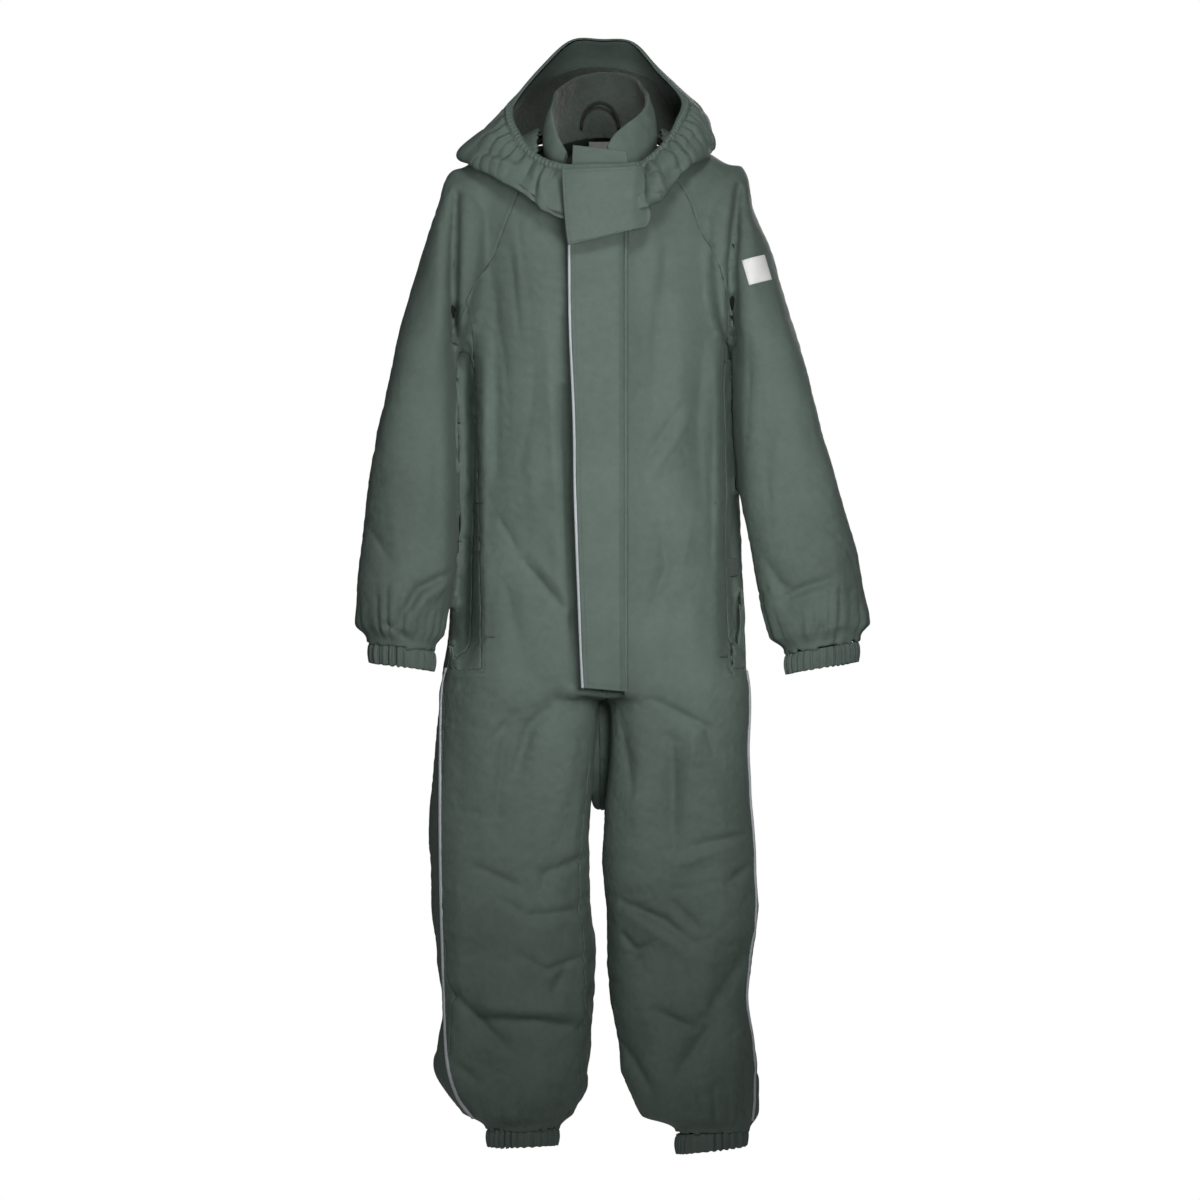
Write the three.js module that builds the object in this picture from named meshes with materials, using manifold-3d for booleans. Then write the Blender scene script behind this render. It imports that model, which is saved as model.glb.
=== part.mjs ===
// A child's hooded outdoor overall, as it hangs from a coat hanger.
// Millimetres, +Z up, -Y is the front, +X is the wearer's left. The origin is the
// centre of the neck opening, where the stem of the hanger passes.
import * as THREE from "three";
import { mergeVertices } from "three/addons/utils/BufferGeometryUtils.js";
import Module from "manifold-3d";

const wasm = await Module();
wasm.setup();

// ---- driving dimensions -------------------------------------------------
const SHELL = 2.0; // outer fabric with its wadding
const GAP = 0.4; // clearance between two pieces that touch
const LINING = 1.2;
const LINING_GAP = 3; // the lining hangs a little inside the outer fabric
const ROUND = 2.3; // superellipse exponent of every body section
const FRONT_Y = -72; // the chest is flat along the zip at this depth
const ZIP_X = 5; // centre front, where the two front panels meet
const ZIP_TOP = -128;
const ZIP_BOTTOM = -592;
const SIDE_SEAM_Y = -12; // side seams sit a little in front of the widest line
const HIP_Z = -640; // the legs swing from here
const POCKET_BOTTOM = -580;
const BOX = 700; // half size of a cutting block, larger than the garment

// A section is [z, least x, greatest x, centre y, half depth, slope of z along x].
const TORSO = [
  [-8, -48, 48, 24, 26],
  [-22, -70, 70, 13, 40],
  [-40, -104, 103, 6, 52],
  [-58, -135, 132, 4, 59],
  [-72, -149, 147, 3, 64],
  [-100, -151, 147, 2, 71],
  [-140, -150, 142, 3, 75],
  [-240, -144, 134, 4, 76],
  [-420, -145, 146, 4, 76],
  [-540, -158, 156, 4, 76],
  [-600, -166, 159, 1, 73],
  [-618, -165, 158, 0, 68],
];
const SLEEVE_R = [
  [-68, -158, -140, -2, 12],
  [-84, -165, -118, -3, 30],
  [-105, -172, -112, -4, 40],
  [-142, -185, -112, -5, 45],
  [-184, -197, -115, -8, 47],
  [-226, -209, -126, -12, 47],
  [-252, -216, -145, -15, 46],
  [-280, -223, -153, -17, 45],
  [-360, -240, -153, -18, 44],
  [-460, -251, -154, -18, 43],
  [-540, -254, -166, -18, 40],
  [-558, -251, -173, -18, 35, -0.1],
  [-567, -245, -177, -18, 30, -0.13],
];
const SLEEVE_L = [
  [-68, 137, 154, -2, 12],
  [-84, 116, 159, -3, 30],
  [-105, 110, 165, -4, 40],
  [-142, 108, 176, -5, 45],
  [-184, 108, 190, -8, 47],
  [-226, 118, 203, -12, 47],
  [-252, 136, 212, -15, 46],
  [-280, 147, 219, -17, 45],
  [-360, 152, 242, -18, 44],
  [-460, 165, 266, -18, 43],
  [-540, 178, 281, -18, 40],
  [-560, 188, 279, -18, 35, 0.13],
  [-570, 197, 275, -18, 30, 0.17],
];
const LEG_R = [
  [-570, -150, -8, 0, 58],
  [-600, -165, -3, 0, 66],
  [-640, -169, -7, 0, 66],
  [-720, -176, -8, 1, 64],
  [-810, -179, -9, 2, 62],
  [-910, -171, -4, 2, 60],
  [-990, -172, -9, 2, 58],
  [-1024, -175, -15, 2, 55],
  [-1050, -158, -26, 2, 47],
  [-1070, -141, -38, 2, 38],
  [-1084, -121, -45, 2, 31],
];
const LEG_L = [
  [-570, 8, 150, 0, 58],
  [-600, 6, 158, 0, 66],
  [-640, 12, 161, 0, 66],
  [-720, 12, 163, 1, 64],
  [-810, 6, 168, 2, 62],
  [-910, 10, 160, 2, 60],
  [-990, 19, 164, 2, 58],
  [-1024, 23, 166, 2, 55],
  [-1050, 33, 165, 2, 47],
  [-1072, 50, 161, 2, 38],
  [-1089, 79, 155, 2, 31],
];
// The seat hangs lower than the front of the crotch and closes the gap behind it.
const SEAT = [
  [-600, -20, 26, 34, 30],
  [-660, -16, 22, 38, 26],
  [-720, -12, 17, 42, 20],
  [-762, -7, 9, 46, 10],
];
// Elastic casings: [z of the top, height, section at the top].
const CUFF_HEIGHT = 26;
const ANKLE_HEIGHT = 17;

// Seams, as points in the front view.
const ARMHOLE_R = [[-157, -60], [-148, -262]];
const ARMHOLE_L = [[154, -60], [140, -262]];
const RAGLAN_R = [[-66, -50], [-90, -104], [-114, -147], [-134, -190], [-149, -232]];
const RAGLAN_L = [[64, -50], [84, -94], [97, -122], [117, -160], [127, -190], [136, -232]];
const PRINCESS_R = [[-137, -197], [-133, -330], [-127, -420], [-119, POCKET_BOTTOM]];
const PRINCESS_L = [[128, -197], [131, -330], [133, -420], [140, POCKET_BOTTOM]];

// The hood is a bowl round the collar: its rim, its upper side, the fold that lies on
// the shoulders, and the neck seam, each from the throat round past the wearer's left.
const HOOD_RIM = [
  [-7, -92, -66], [46, -78, -58], [72, -55, -34], [82, -32, -12], [84, -4, 17],
  [68, 28, 40], [44, 48, 60], [0, 60, 79], [-34, 54, 75], [-62, 34, 50],
  [-86, 0, 17], [-93, -28, -2], [-85, -50, -28], [-62, -70, -54],
];
const HOOD_SHOULDER = [
  [-6, -97, -95], [52, -92, -84], [92, -66, -60], [110, -34, -26], [116, 0, -12],
  [104, 46, 2], [64, 80, 18], [0, 96, 34], [-48, 86, 24], [-92, 52, 6],
  [-121, 2, -18], [-128, -32, -38], [-106, -62, -66], [-66, -84, -88],
];
const HOOD_FOLD = [
  [-5, -94, -122], [50, -90, -108], [96, -64, -80], [116, -36, -54], [122, 2, -42],
  [112, 52, -34], [66, 84, -30], [0, 96, -26], [-54, 88, -30], [-106, 58, -36],
  [-142, 4, -48], [-144, -26, -56], [-110, -60, -88], [-68, -82, -116],
];
const NECK_SEAM = [
  [-1, -76, -109], [28, -72, -104], [50, -55, -90], [63, -32, -72], [68, -6, -50],
  [60, 26, -32], [34, 50, -20], [0, 58, -16], [-34, 50, -20], [-60, 26, -32],
  [-68, -6, -50], [-65, -32, -72], [-52, -55, -90], [-30, -72, -104],
];
const HOOD_ROUND = 22; // columns round the hood, a multiple of two
const COLLAR_BASE = [
  [0, -64, -98], [38, -48, -84], [58, -10, -52], [44, 32, -20], [0, 47, -12],
  [-44, 32, -20], [-58, -10, -52], [-38, -48, -84],
];
const COLLAR_TOP = [
  [0, -71, -52], [36, -56, -42], [51, -16, -4], [40, 36, 25], [0, 51, 35],
  [-42, 36, 26], [-57, -16, -8], [-40, -56, -44],
];

// ---- building blocks ----------------------------------------------------
const COLOURS = {
  shell: ["#5f6c66", 0.72, 0],
  shell_inside: ["#39443e", 0.85, 0],
  lining: ["#131514", 0.8, 0],
  piping: ["#c9d2d6", 0.35, 0.1],
  badge: ["#f4f5f6", 0.4, 0],
  zip_metal: ["#6f7577", 0.35, 0.9],
  zip_tape: ["#2c332f", 0.8, 0],
  hook_loop: ["#2f3733", 0.95, 0],
  strap: ["#17191a", 0.75, 0],
};
const MATERIALS = Object.fromEntries(
  Object.entries(COLOURS).map(([name, [color, roughness, metalness]]) => [
    name,
    new THREE.MeshStandardMaterial({ name, color, roughness, metalness }),
  ]),
);
const overall = new THREE.Group();

function add(name, geometry, material) {
  const mesh = new THREE.Mesh(geometry, MATERIALS[material]);
  mesh.name = name;
  overall.add(mesh);
}

function toSolid(geometry) {
  const bare = geometry.clone();
  bare.deleteAttribute("normal");
  bare.deleteAttribute("uv");
  const merged = mergeVertices(bare, 1e-3);
  return new wasm.Manifold(
    new wasm.Mesh({
      numProp: 3,
      vertProperties: new Float32Array(merged.attributes.position.array),
      triVerts: new Uint32Array(merged.index.array),
    }),
  );
}

// The largest body of a solid, as geometry: cuts can leave crumbs at a seam's end.
function toGeometry(solid) {
  const bodies = solid.decompose();
  bodies.sort((a, b) => b.volume() - a.volume());
  const mesh = bodies[0].getMesh();
  const geometry = new THREE.BufferGeometry();
  geometry.setAttribute("position", new THREE.BufferAttribute(mesh.vertProperties, 3));
  geometry.setIndex(new THREE.BufferAttribute(mesh.triVerts, 1));
  return geometry;
}

function signedVolume(points, triangles) {
  let six = 0;
  for (const [a, b, c] of triangles) six += points[a].dot(points[b].clone().cross(points[c]));
  return six / 6;
}

// A closed surface from points and triangles, turned so that its faces point out.
function closedSurface(points, triangles) {
  const out = signedVolume(points, triangles) > 0;
  const index = triangles.flatMap(([a, b, c]) => (out ? [a, b, c] : [a, c, b]));
  const geometry = new THREE.BufferGeometry().setFromPoints(points);
  geometry.setIndex(index);
  return geometry;
}

// A solid through a stack of rings, each closed by a fan at the two ends.
function loft(rings) {
  const n = rings[0].length;
  const points = rings.flat();
  const triangles = [];
  for (let r = 0; r + 1 < rings.length; r++)
    for (let i = 0; i < n; i++) {
      const a = r * n + i;
      const b = r * n + ((i + 1) % n);
      triangles.push([a, b, b + n], [a, b + n, a + n]);
    }
  for (const [start, flip] of [[0, true], [(rings.length - 1) * n, false]]) {
    const middle = new THREE.Vector3();
    for (let i = 0; i < n; i++) middle.add(points[start + i]);
    points.push(middle.divideScalar(n));
    for (let i = 0; i < n; i++) {
      const a = start + i;
      const b = start + ((i + 1) % n);
      triangles.push(flip ? [b, a, points.length - 1] : [a, b, points.length - 1]);
    }
  }
  return closedSurface(points, triangles);
}

// A thin solid between two equal grids of points; wrap joins the last column to the first.
function sheet(outer, inner, wrap) {
  const rows = outer.length;
  const n = outer[0].length;
  const points = [...outer.flat(), ...inner.flat()];
  const back = rows * n;
  const spans = wrap ? n : n - 1;
  const triangles = [];
  const quad = (a, b, c, d) => triangles.push([a, b, c], [a, c, d]);
  for (let r = 0; r + 1 < rows; r++)
    for (let i = 0; i < spans; i++) {
      const j = (i + 1) % n;
      quad(r * n + i, r * n + j, (r + 1) * n + j, (r + 1) * n + i);
      quad(back + r * n + i, back + (r + 1) * n + i, back + (r + 1) * n + j, back + r * n + j);
    }
  for (let i = 0; i < spans; i++) {
    const j = (i + 1) % n;
    const last = (rows - 1) * n;
    quad(j, i, back + i, back + j);
    quad(last + i, last + j, back + last + j, back + last + i);
  }
  if (!wrap)
    for (let r = 0; r + 1 < rows; r++) {
      const end = n - 1;
      quad(r * n, (r + 1) * n, back + (r + 1) * n, back + r * n);
      quad((r + 1) * n + end, r * n + end, back + r * n + end, back + (r + 1) * n + end);
    }
  return closedSurface(points, triangles);
}

// One ring of a body section, grown outwards by grow (negative shrinks it).
function ring([z, low, high, cy, depth, slope = 0], sides, grow = 0) {
  const cx = (low + high) / 2;
  const halfWidth = (high - low) / 2 + grow;
  const halfDepth = depth + grow;
  const power = (value) => Math.sign(value) * Math.abs(value) ** (2 / ROUND);
  return Array.from({ length: sides }, (_, i) => {
    const angle = ((i + 0.5) / sides) * 2 * Math.PI;
    const x = cx + halfWidth * power(Math.cos(angle));
    const y = cy + halfDepth * power(Math.sin(angle));
    return new THREE.Vector3(x, y, z + slope * (x - cx));
  });
}

// A garment tube as a solid. Its ends can be carried on, so that a bore opens them.
function tube(sections, sides, grow = 0, past = [0, 0]) {
  const rings = sections.map((section) => ring(section, sides, grow));
  const shifted = (points, dz) => points.map((p) => p.clone().setZ(p.z + dz));
  if (past[0]) rings.unshift(shifted(rings[0], past[0]));
  if (past[1]) rings.push(shifted(rings[rings.length - 1], -past[1]));
  return toSolid(loft(rings));
}

// Everything inside an outline drawn in the front view, from y0 to y1.
function prism(outline, y0 = -BOX, y1 = BOX) {
  const shape = new THREE.Shape(outline.map(([x, z]) => new THREE.Vector2(x, z)));
  const geometry = new THREE.ExtrudeGeometry(shape, { depth: y1 - y0, bevelEnabled: false });
  geometry.rotateX(Math.PI / 2);
  geometry.translate(0, y1, 0);
  return toSolid(geometry);
}

function block(x0, x1, y0, y1, z0, z1) {
  const geometry = new THREE.BoxGeometry(x1 - x0, y1 - y0, z1 - z0);
  geometry.translate((x0 + x1) / 2, (y0 + y1) / 2, (z0 + z1) / 2);
  return geometry;
}

const boxOf = ({ x, y, z }) => block(...x, ...y, ...z);

// Half of the front view beyond a seam through two points, on the side of direction.
function beyond(seam, direction, shift = 0) {
  const [[x0, z0], [x1, z1]] = [seam[0], seam[seam.length - 1]];
  const at = (z) => x0 + ((z - z0) / (z1 - z0)) * (x1 - x0) + shift * direction;
  return prism([
    [at(BOX), BOX],
    [at(-2 * BOX), -2 * BOX],
    [direction * BOX, -2 * BOX],
    [direction * BOX, BOX],
  ]);
}

// The piece of cloth between a seam line and the side of the garment.
function lateral(seam, direction, shift, top, bottom) {
  const line = seam.map(([x, z]) => [x + shift * direction, z]);
  const first = line[0];
  const last = line[line.length - 1];
  return prism([
    [first[0], top],
    ...line,
    [last[0], bottom],
    [direction * BOX, bottom],
    [direction * BOX, top],
  ]);
}

const slab = (z0, z1) => toSolid(block(-BOX, BOX, -BOX, BOX, z0, z1));
const union = (solids) => solids.reduce((a, b) => a.add(b));
const frontHalf = toSolid(block(-BOX, BOX, -BOX, SIDE_SEAM_Y - GAP / 2, -2 * BOX, BOX));
const backHalf = toSolid(block(-BOX, BOX, SIDE_SEAM_Y + GAP / 2, BOX, -2 * BOX, BOX));

// ---- the body of the garment -------------------------------------------
const SIDES = { torso: 20, sleeve: 12, leg: 12, seat: 8 };
const LINING_SIDES = { torso: 14, sleeve: 8, leg: 8, seat: 8 };

function bodySolids(grow, open, sides = SIDES) {
  const past = open ? [0, 40] : [0, 0];
  return {
    torso: tube(TORSO, sides.torso, grow),
    sleeveR: tube(SLEEVE_R, sides.sleeve, grow, past),
    sleeveL: tube(SLEEVE_L, sides.sleeve, grow, past),
    legR: tube(LEG_R, sides.leg, grow, past),
    legL: tube(LEG_L, sides.leg, grow, past),
    seat: tube(SEAT, sides.seat, grow),
  };
}
const outer = bodySolids(0, false);
const hollow = union(Object.values(bodySolids(-SHELL, true)));
const liningOuter = bodySolids(-SHELL - LINING_GAP, false, LINING_SIDES);
const liningHollow = union(
  Object.values(bodySolids(-SHELL - LINING_GAP - LINING, true, LINING_SIDES)),
);

function loopPoints(loop, count) {
  const curve = new THREE.CatmullRomCurve3(
    loop.map((p) => new THREE.Vector3(...p)),
    true,
  );
  return Array.from({ length: count }, (_, i) => curve.getPoint(i / count));
}

// Grid of points from one loop to the next, smooth both ways.
function loopGrid(loops, count, rows) {
  const rings = loops.map((loop) => loopPoints(loop, count));
  return Array.from({ length: rows }, (_, r) =>
    rings[0].map((_, i) => {
      const across = new THREE.CatmullRomCurve3(rings.map((points) => points[i]));
      return across.getPoint(r / (rows - 1));
    }),
  );
}

// The grid moved along its own normals; positive is away from the neck's middle.
function offsetGrid(grid, distance) {
  const rows = grid.length;
  const n = grid[0].length;
  return grid.map((line, r) =>
    line.map((point, i) => {
      const around = line[(i + 1) % n].clone().sub(line[(i + n - 1) % n]);
      const along = grid[Math.min(r + 1, rows - 1)][i].clone().sub(grid[Math.max(r - 1, 0)][i]);
      return point.clone().addScaledVector(along.cross(around).normalize(), distance);
    }),
  );
}

// The neck hole that the collar stands in, as a solid plug.
function neckPlug(grow) {
  const base = loopPoints(COLLAR_BASE, 20);
  const top = loopPoints(COLLAR_TOP, 20);
  const middle = new THREE.Vector3(0, -8, 0);
  const grown = (points, dz) =>
    points.map((p) => {
      const out = p.clone().sub(middle).setZ(0).normalize();
      return p.clone().addScaledVector(out, grow).setZ(p.z + dz);
    });
  return toSolid(loft([grown(base, -26), grown(base, 0), grown(top, 0), grown(top, 60)]));
}
const neckHole = neckPlug(2.4);

const sideOf = {
  right: { direction: -1, raglan: RAGLAN_R, princess: PRINCESS_R },
  left: { direction: 1, raglan: RAGLAN_L, princess: PRINCESS_L },
};
const outerOf = {
  right: { sleeve: outer.sleeveR, leg: outer.legR },
  left: { sleeve: outer.sleeveL, leg: outer.legL },
};
const liningOf = {
  right: { sleeve: liningOuter.sleeveR, leg: liningOuter.legR },
  left: { sleeve: liningOuter.sleeveL, leg: liningOuter.legL },
};
const sleeveSide = {
  right: beyond(ARMHOLE_R, -1, GAP / 2),
  left: beyond(ARMHOLE_L, 1, GAP / 2),
};
const bodySide = {
  right: beyond(ARMHOLE_R, 1, GAP / 2),
  left: beyond(ARMHOLE_L, -1, GAP / 2),
};
const aboveHip = slab(HIP_Z + GAP / 2, BOX);
const belowHip = slab(-2 * BOX, HIP_Z - GAP / 2);

// Trunk: torso, the tops of the sleeves and the tops of the legs, less its hollow.
function trunk(parts, cavity) {
  const whole = union([
    parts.torso,
    parts.sleeveR.intersect(bodySide.right),
    parts.sleeveL.intersect(bodySide.left),
    parts.legR.intersect(aboveHip),
    parts.legL.intersect(aboveHip),
  ]);
  return whole.subtract(cavity).subtract(neckHole);
}
const trunkShell = trunk(outer, hollow);

// Each seam's two sides stay GAP apart.
const centreFront = 4; // half width of the slot that the zip chain runs in
for (const [side, { direction, raglan, princess }] of Object.entries(sideOf)) {
  const half = prism([
    [ZIP_X + direction * centreFront, BOX],
    [ZIP_X + direction * centreFront, -2 * BOX],
    [direction * BOX, -2 * BOX],
    [direction * BOX, BOX],
  ]);
  const cap = lateral(raglan, direction, GAP / 2, BOX, raglan[raglan.length - 1][1]);
  const notCap = lateral(raglan, direction, -GAP / 2, BOX, raglan[raglan.length - 1][1] - GAP);
  const sideLow = POCKET_BOTTOM;
  const sidePanel = lateral(princess, direction, GAP / 2, princess[0][1], sideLow);
  const notSide = lateral(princess, direction, -GAP / 2, princess[0][1], sideLow - GAP);
  const front = trunkShell.intersect(frontHalf).intersect(half);
  add(`front_panel_${side}`, toGeometry(front.subtract(notCap).subtract(notSide)), "shell");
  const pocketPanel = front.intersect(sidePanel).subtract(notCap);
  add(`side_panel_${side}`, toGeometry(pocketPanel), "shell");
  add(`sleeve_cap_${side}`, toGeometry(trunkShell.intersect(cap)), "shell");
  const back = trunkShell.intersect(backHalf).intersect(
    prism([
      [direction * (GAP / 2), BOX],
      [direction * (GAP / 2), -2 * BOX],
      [direction * BOX, -2 * BOX],
      [direction * BOX, BOX],
    ]),
  );
  add(`back_panel_${side}`, toGeometry(back.subtract(notCap)), "shell");

  const sleeve = outerOf[side].sleeve.intersect(sleeveSide[side]).subtract(hollow);
  add(`sleeve_${side}`, toGeometry(sleeve), "shell");
  const sleeveLining = liningOf[side].sleeve
    .intersect(sleeveSide[side])
    .subtract(liningHollow);
  add(`sleeve_lining_${side}`, toGeometry(sleeveLining), "lining");

  const leg = outerOf[side].leg.intersect(belowHip).subtract(hollow);
  const clearOfSeat = tube(SEAT, SIDES.seat, 1);
  const legShell = leg.subtract(clearOfSeat);
  add(`leg_front_${side}`, toGeometry(legShell.intersect(frontHalf)), "shell");
  add(`leg_back_${side}`, toGeometry(legShell.intersect(backHalf)), "shell");
  const legLining = liningOf[side].leg
    .intersect(belowHip)
    .subtract(liningHollow)
    .subtract(clearOfSeat);
  add(`leg_lining_${side}`, toGeometry(legLining), "lining");
}
add("torso_lining", toGeometry(trunk(liningOuter, liningHollow)), "lining");

const clearOfLegs = union([tube(LEG_R, SIDES.leg, GAP), tube(LEG_L, SIDES.leg, GAP)]);
const seatCavity = tube(SEAT, SIDES.seat, -SHELL, [20, 0]);
const seat = outer.seat.intersect(belowHip).subtract(seatCavity).subtract(clearOfLegs);
add("seat_gusset", toGeometry(seat), "shell");

// ---- cuffs and ankle bands ----------------------------------------------
function band(section, height, sides) {
  const [z, ...rest] = section;
  const top = [z - GAP, ...rest];
  const bottom = [z - GAP - height, ...rest];
  const wall = 2.5; // elastic tape between two layers of cloth
  const bore = tube([top, bottom], sides, -wall, [20, 20]);
  return tube([top, bottom], sides).subtract(bore);
}
const last = (sections) => sections[sections.length - 1];
add("cuff_right", toGeometry(band(last(SLEEVE_R), CUFF_HEIGHT, SIDES.sleeve)), "shell");
add("cuff_left", toGeometry(band(last(SLEEVE_L), CUFF_HEIGHT, SIDES.sleeve)), "shell");
add("ankle_band_right", toGeometry(band(last(LEG_R), ANKLE_HEIGHT, SIDES.leg)), "shell");
add("ankle_band_left", toGeometry(band(last(LEG_L), ANKLE_HEIGHT, SIDES.leg)), "shell");

// ---- collar --------------------------------------------------------------
const COLLAR_ROUND = 18;
const collarGrid = loopGrid([COLLAR_BASE, COLLAR_TOP], COLLAR_ROUND, 3);
// The collar is open at the front, where its two ends meet over the zip.
const openFront = (grid) => grid.map((line) => line.slice(1));
function layer(grid, from, to, wrap) {
  return sheet(offsetGrid(grid, from), offsetGrid(grid, to), wrap);
}
add("collar", toGeometry(toSolid(sheetOf(collarGrid, 0, 1.6))), "shell");
add("collar_lining", toGeometry(toSolid(sheetOf(collarGrid, 2, 3.2))), "lining");
function sheetOf(grid, from, to) {
  return sheet(openFront(offsetGrid(grid, from)), openFront(offsetGrid(grid, to)), false);
}
const COLLAR_TAB = { x: [-29, 29], y: [-77, -75], z: [-67, -47] };
add("collar_tab", boxOf(COLLAR_TAB), "shell");

// ---- hood ----------------------------------------------------------------
const hoodGrid = loopGrid([HOOD_RIM, HOOD_SHOULDER, HOOD_FOLD, NECK_SEAM], HOOD_ROUND, 9);
const FACING_ROWS = 3;
const columns = (grid, from, to) => grid.map((line) => line.slice(from, to + 1));
const halfRound = HOOD_ROUND / 2;
function halfSheet(from, to, low, high) {
  const wrapped = (grid) => grid.map((line) => [...line, line[0]]);
  const pick = (grid) => columns(wrapped(grid), low, high);
  return sheet(pick(offsetGrid(hoodGrid, from)), pick(offsetGrid(hoodGrid, to)), false);
}
const slit = toSolid(block(-GAP, GAP, -BOX, BOX, -BOX, BOX));
// The hood rests on the shoulders and stops where it meets them.
const HOOD_CLEAR = 3.5; // lets the hood turn back without touching the shoulders
const shoulders = union([
  tube(TORSO, SIDES.torso, HOOD_CLEAR),
  tube(SLEEVE_R, SIDES.sleeve, HOOD_CLEAR),
  tube(SLEEVE_L, SIDES.sleeve, HOOD_CLEAR),
]);
function addHood(name, geometry, material) {
  add(name, toGeometry(toSolid(geometry).subtract(shoulders).subtract(slit)), material);
}
addHood("hood_panel_left", halfSheet(2, 0.3, 0, halfRound), "shell");
addHood("hood_panel_right", halfSheet(2, 0.3, halfRound, HOOD_ROUND), "shell");
const facing = layer(hoodGrid.slice(0, FACING_ROWS), 0, -1.4, true);
add("hood_facing", facing, "shell");
const lower = layer(hoodGrid.slice(FACING_ROWS), 0, -1.4, true);
add("hood_lining", toGeometry(toSolid(lower).subtract(shoulders)), "shell_inside");

// ---- chin flap -----------------------------------------------------------
const FLAP_BACK = -103;
const FLAP_THICK = 3;
const CHIN_FLAP = [[-42, -70], [-34, -150], [42, -140], [55, -123], [42, -66], [29, -61]];
add("chin_flap", toGeometry(prism(CHIN_FLAP, FLAP_BACK - FLAP_THICK, FLAP_BACK)), "shell");
const patchFront = FLAP_BACK + GAP;
const CHIN_PATCH = { x: [-28, 2], y: [patchFront, patchFront + 1.5], z: [-146, -128] };
add("chin_patch", boxOf(CHIN_PATCH), "hook_loop");

// ---- zip and storm flap ---------------------------------------------------
const TAPE = { half: 12, thick: 1.2 };
const CHAIN = { half: 2.3, thick: 2.2 };
const chestY = FRONT_Y - 1; // just in front of the two front panels
for (const [side, direction] of [["right", -1], ["left", 1]]) {
  const near = ZIP_X + direction * 0.2;
  const tapeEdge = ZIP_X + direction * TAPE.half;
  const chainEdge = ZIP_X + direction * CHAIN.half;
  const spanX = (a, b) => [Math.min(a, b), Math.max(a, b)];
  const tapeY = [chestY - TAPE.thick, chestY];
  add(`zip_tape_${side}`, block(...spanX(near, tapeEdge), ...tapeY, ZIP_BOTTOM, ZIP_TOP), "zip_tape");
  const chainFront = tapeY[0] - GAP - CHAIN.thick;
  const chainY = [chainFront, tapeY[0] - GAP];
  add(`zip_teeth_${side}`, block(...spanX(near, chainEdge), ...chainY, ZIP_BOTTOM, ZIP_TOP), "zip_metal");
}
const SLIDER = { half: 5, top: ZIP_TOP - 8, height: 12, plate: 1.6 };
const chainFront = chestY - TAPE.thick - GAP - CHAIN.thick;
const sliderFront = chainFront - 0.3 - SLIDER.plate;
const sliderBody = toSolid(
  block(
    ZIP_X - SLIDER.half, ZIP_X + SLIDER.half,
    sliderFront, chestY - TAPE.thick - GAP,
    SLIDER.top - SLIDER.height, SLIDER.top,
  ),
);
const channel = toSolid(
  block(
    ZIP_X - CHAIN.half - 0.3, ZIP_X + CHAIN.half + 0.3,
    chainFront - 0.3, chestY,
    SLIDER.top - 2 * SLIDER.height, SLIDER.top + SLIDER.height,
  ),
);
add("zip_slider", toGeometry(sliderBody.subtract(channel)), "zip_metal");
const PULL = { half: 3, length: 20, thick: 1 };
const pullBack = sliderFront - GAP;
add(
  "zip_pull",
  block(
    ZIP_X - PULL.half, ZIP_X + PULL.half,
    pullBack - PULL.thick, pullBack,
    SLIDER.top - 4 - PULL.length, SLIDER.top - 4,
  ),
  "zip_metal",
);
const STOP = { half: 3, height: 4 };
add(
  "zip_stop",
  block(
    ZIP_X - STOP.half, ZIP_X + STOP.half,
    chainFront, chestY,
    ZIP_BOTTOM - STOP.height, ZIP_BOTTOM - GAP,
  ),
  "zip_metal",
);

const FLAP_Y = [-87.5, -85.5];
const FLAP_AXIS_X = 28.5;
const FLAP_FREE_EDGE = [[-32, -155], [-26, -331], [-18, -614]];
const FLAP_SEWN = [[FLAP_AXIS_X - 2, -620], [FLAP_AXIS_X - 2, -155]];
add("storm_flap", toGeometry(prism([...FLAP_FREE_EDGE, ...FLAP_SEWN], ...FLAP_Y)), "shell");
const FLAP_TOP_OUTLINE = [[-32, -128], [-32, -154], [26, -154], [26, -128]];
add("storm_flap_top", toGeometry(prism(FLAP_TOP_OUTLINE, ...FLAP_Y)), "shell");
const FLAP_BASE = { x: [22.5, 29], y: [FLAP_Y[1] + 1, chestY + 0.2], z: [-618, -128] };
add("storm_flap_base", boxOf(FLAP_BASE), "shell");
const pipingWidth = 3;
const pipingLine = FLAP_FREE_EDGE.map(([x, z]) => [x - GAP, z]);
const pipingBack = [...pipingLine].reverse().map(([x, z]) => [x - pipingWidth, z]);
add("storm_flap_piping", toGeometry(prism([...pipingLine, ...pipingBack], ...FLAP_Y)), "piping");

const SNAP_HEIGHTS = [-240, -400, -560];
const SNAP_X = -19; // near the flap's free edge
const snap = { radius: 5, stud: 1.8, socket: 1.8 };
SNAP_HEIGHTS.forEach((z, i) => {
  const disc = (radius, depth, yMiddle) => {
    const geometry = new THREE.CylinderGeometry(radius, radius, depth, 12);
    geometry.translate(SNAP_X + i * 2, yMiddle, z); // the free edge slants
    return geometry;
  };
  add(`snap_stud_${i + 1}`, disc(snap.radius, snap.stud, chestY - snap.stud / 2), "zip_metal");
  const socketY = FLAP_Y[1] + GAP + snap.socket / 2;
  add(`snap_socket_${i + 1}`, disc(snap.radius, snap.socket, socketY), "zip_metal");
});

// ---- small parts -----------------------------------------------------------
const WAIST_TAB = { x: [152, 160], y: [-16, -6], z: [-496, -474] };
const SIZE_LABEL = { x: [-12, 12], y: [36, 36.8], z: [-56, -32] };
add("waist_tab", boxOf(WAIST_TAB), "strap");
add("hanger_loop", hangerLoop(), "strap");
add("size_label", boxOf(SIZE_LABEL), "badge");
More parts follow.
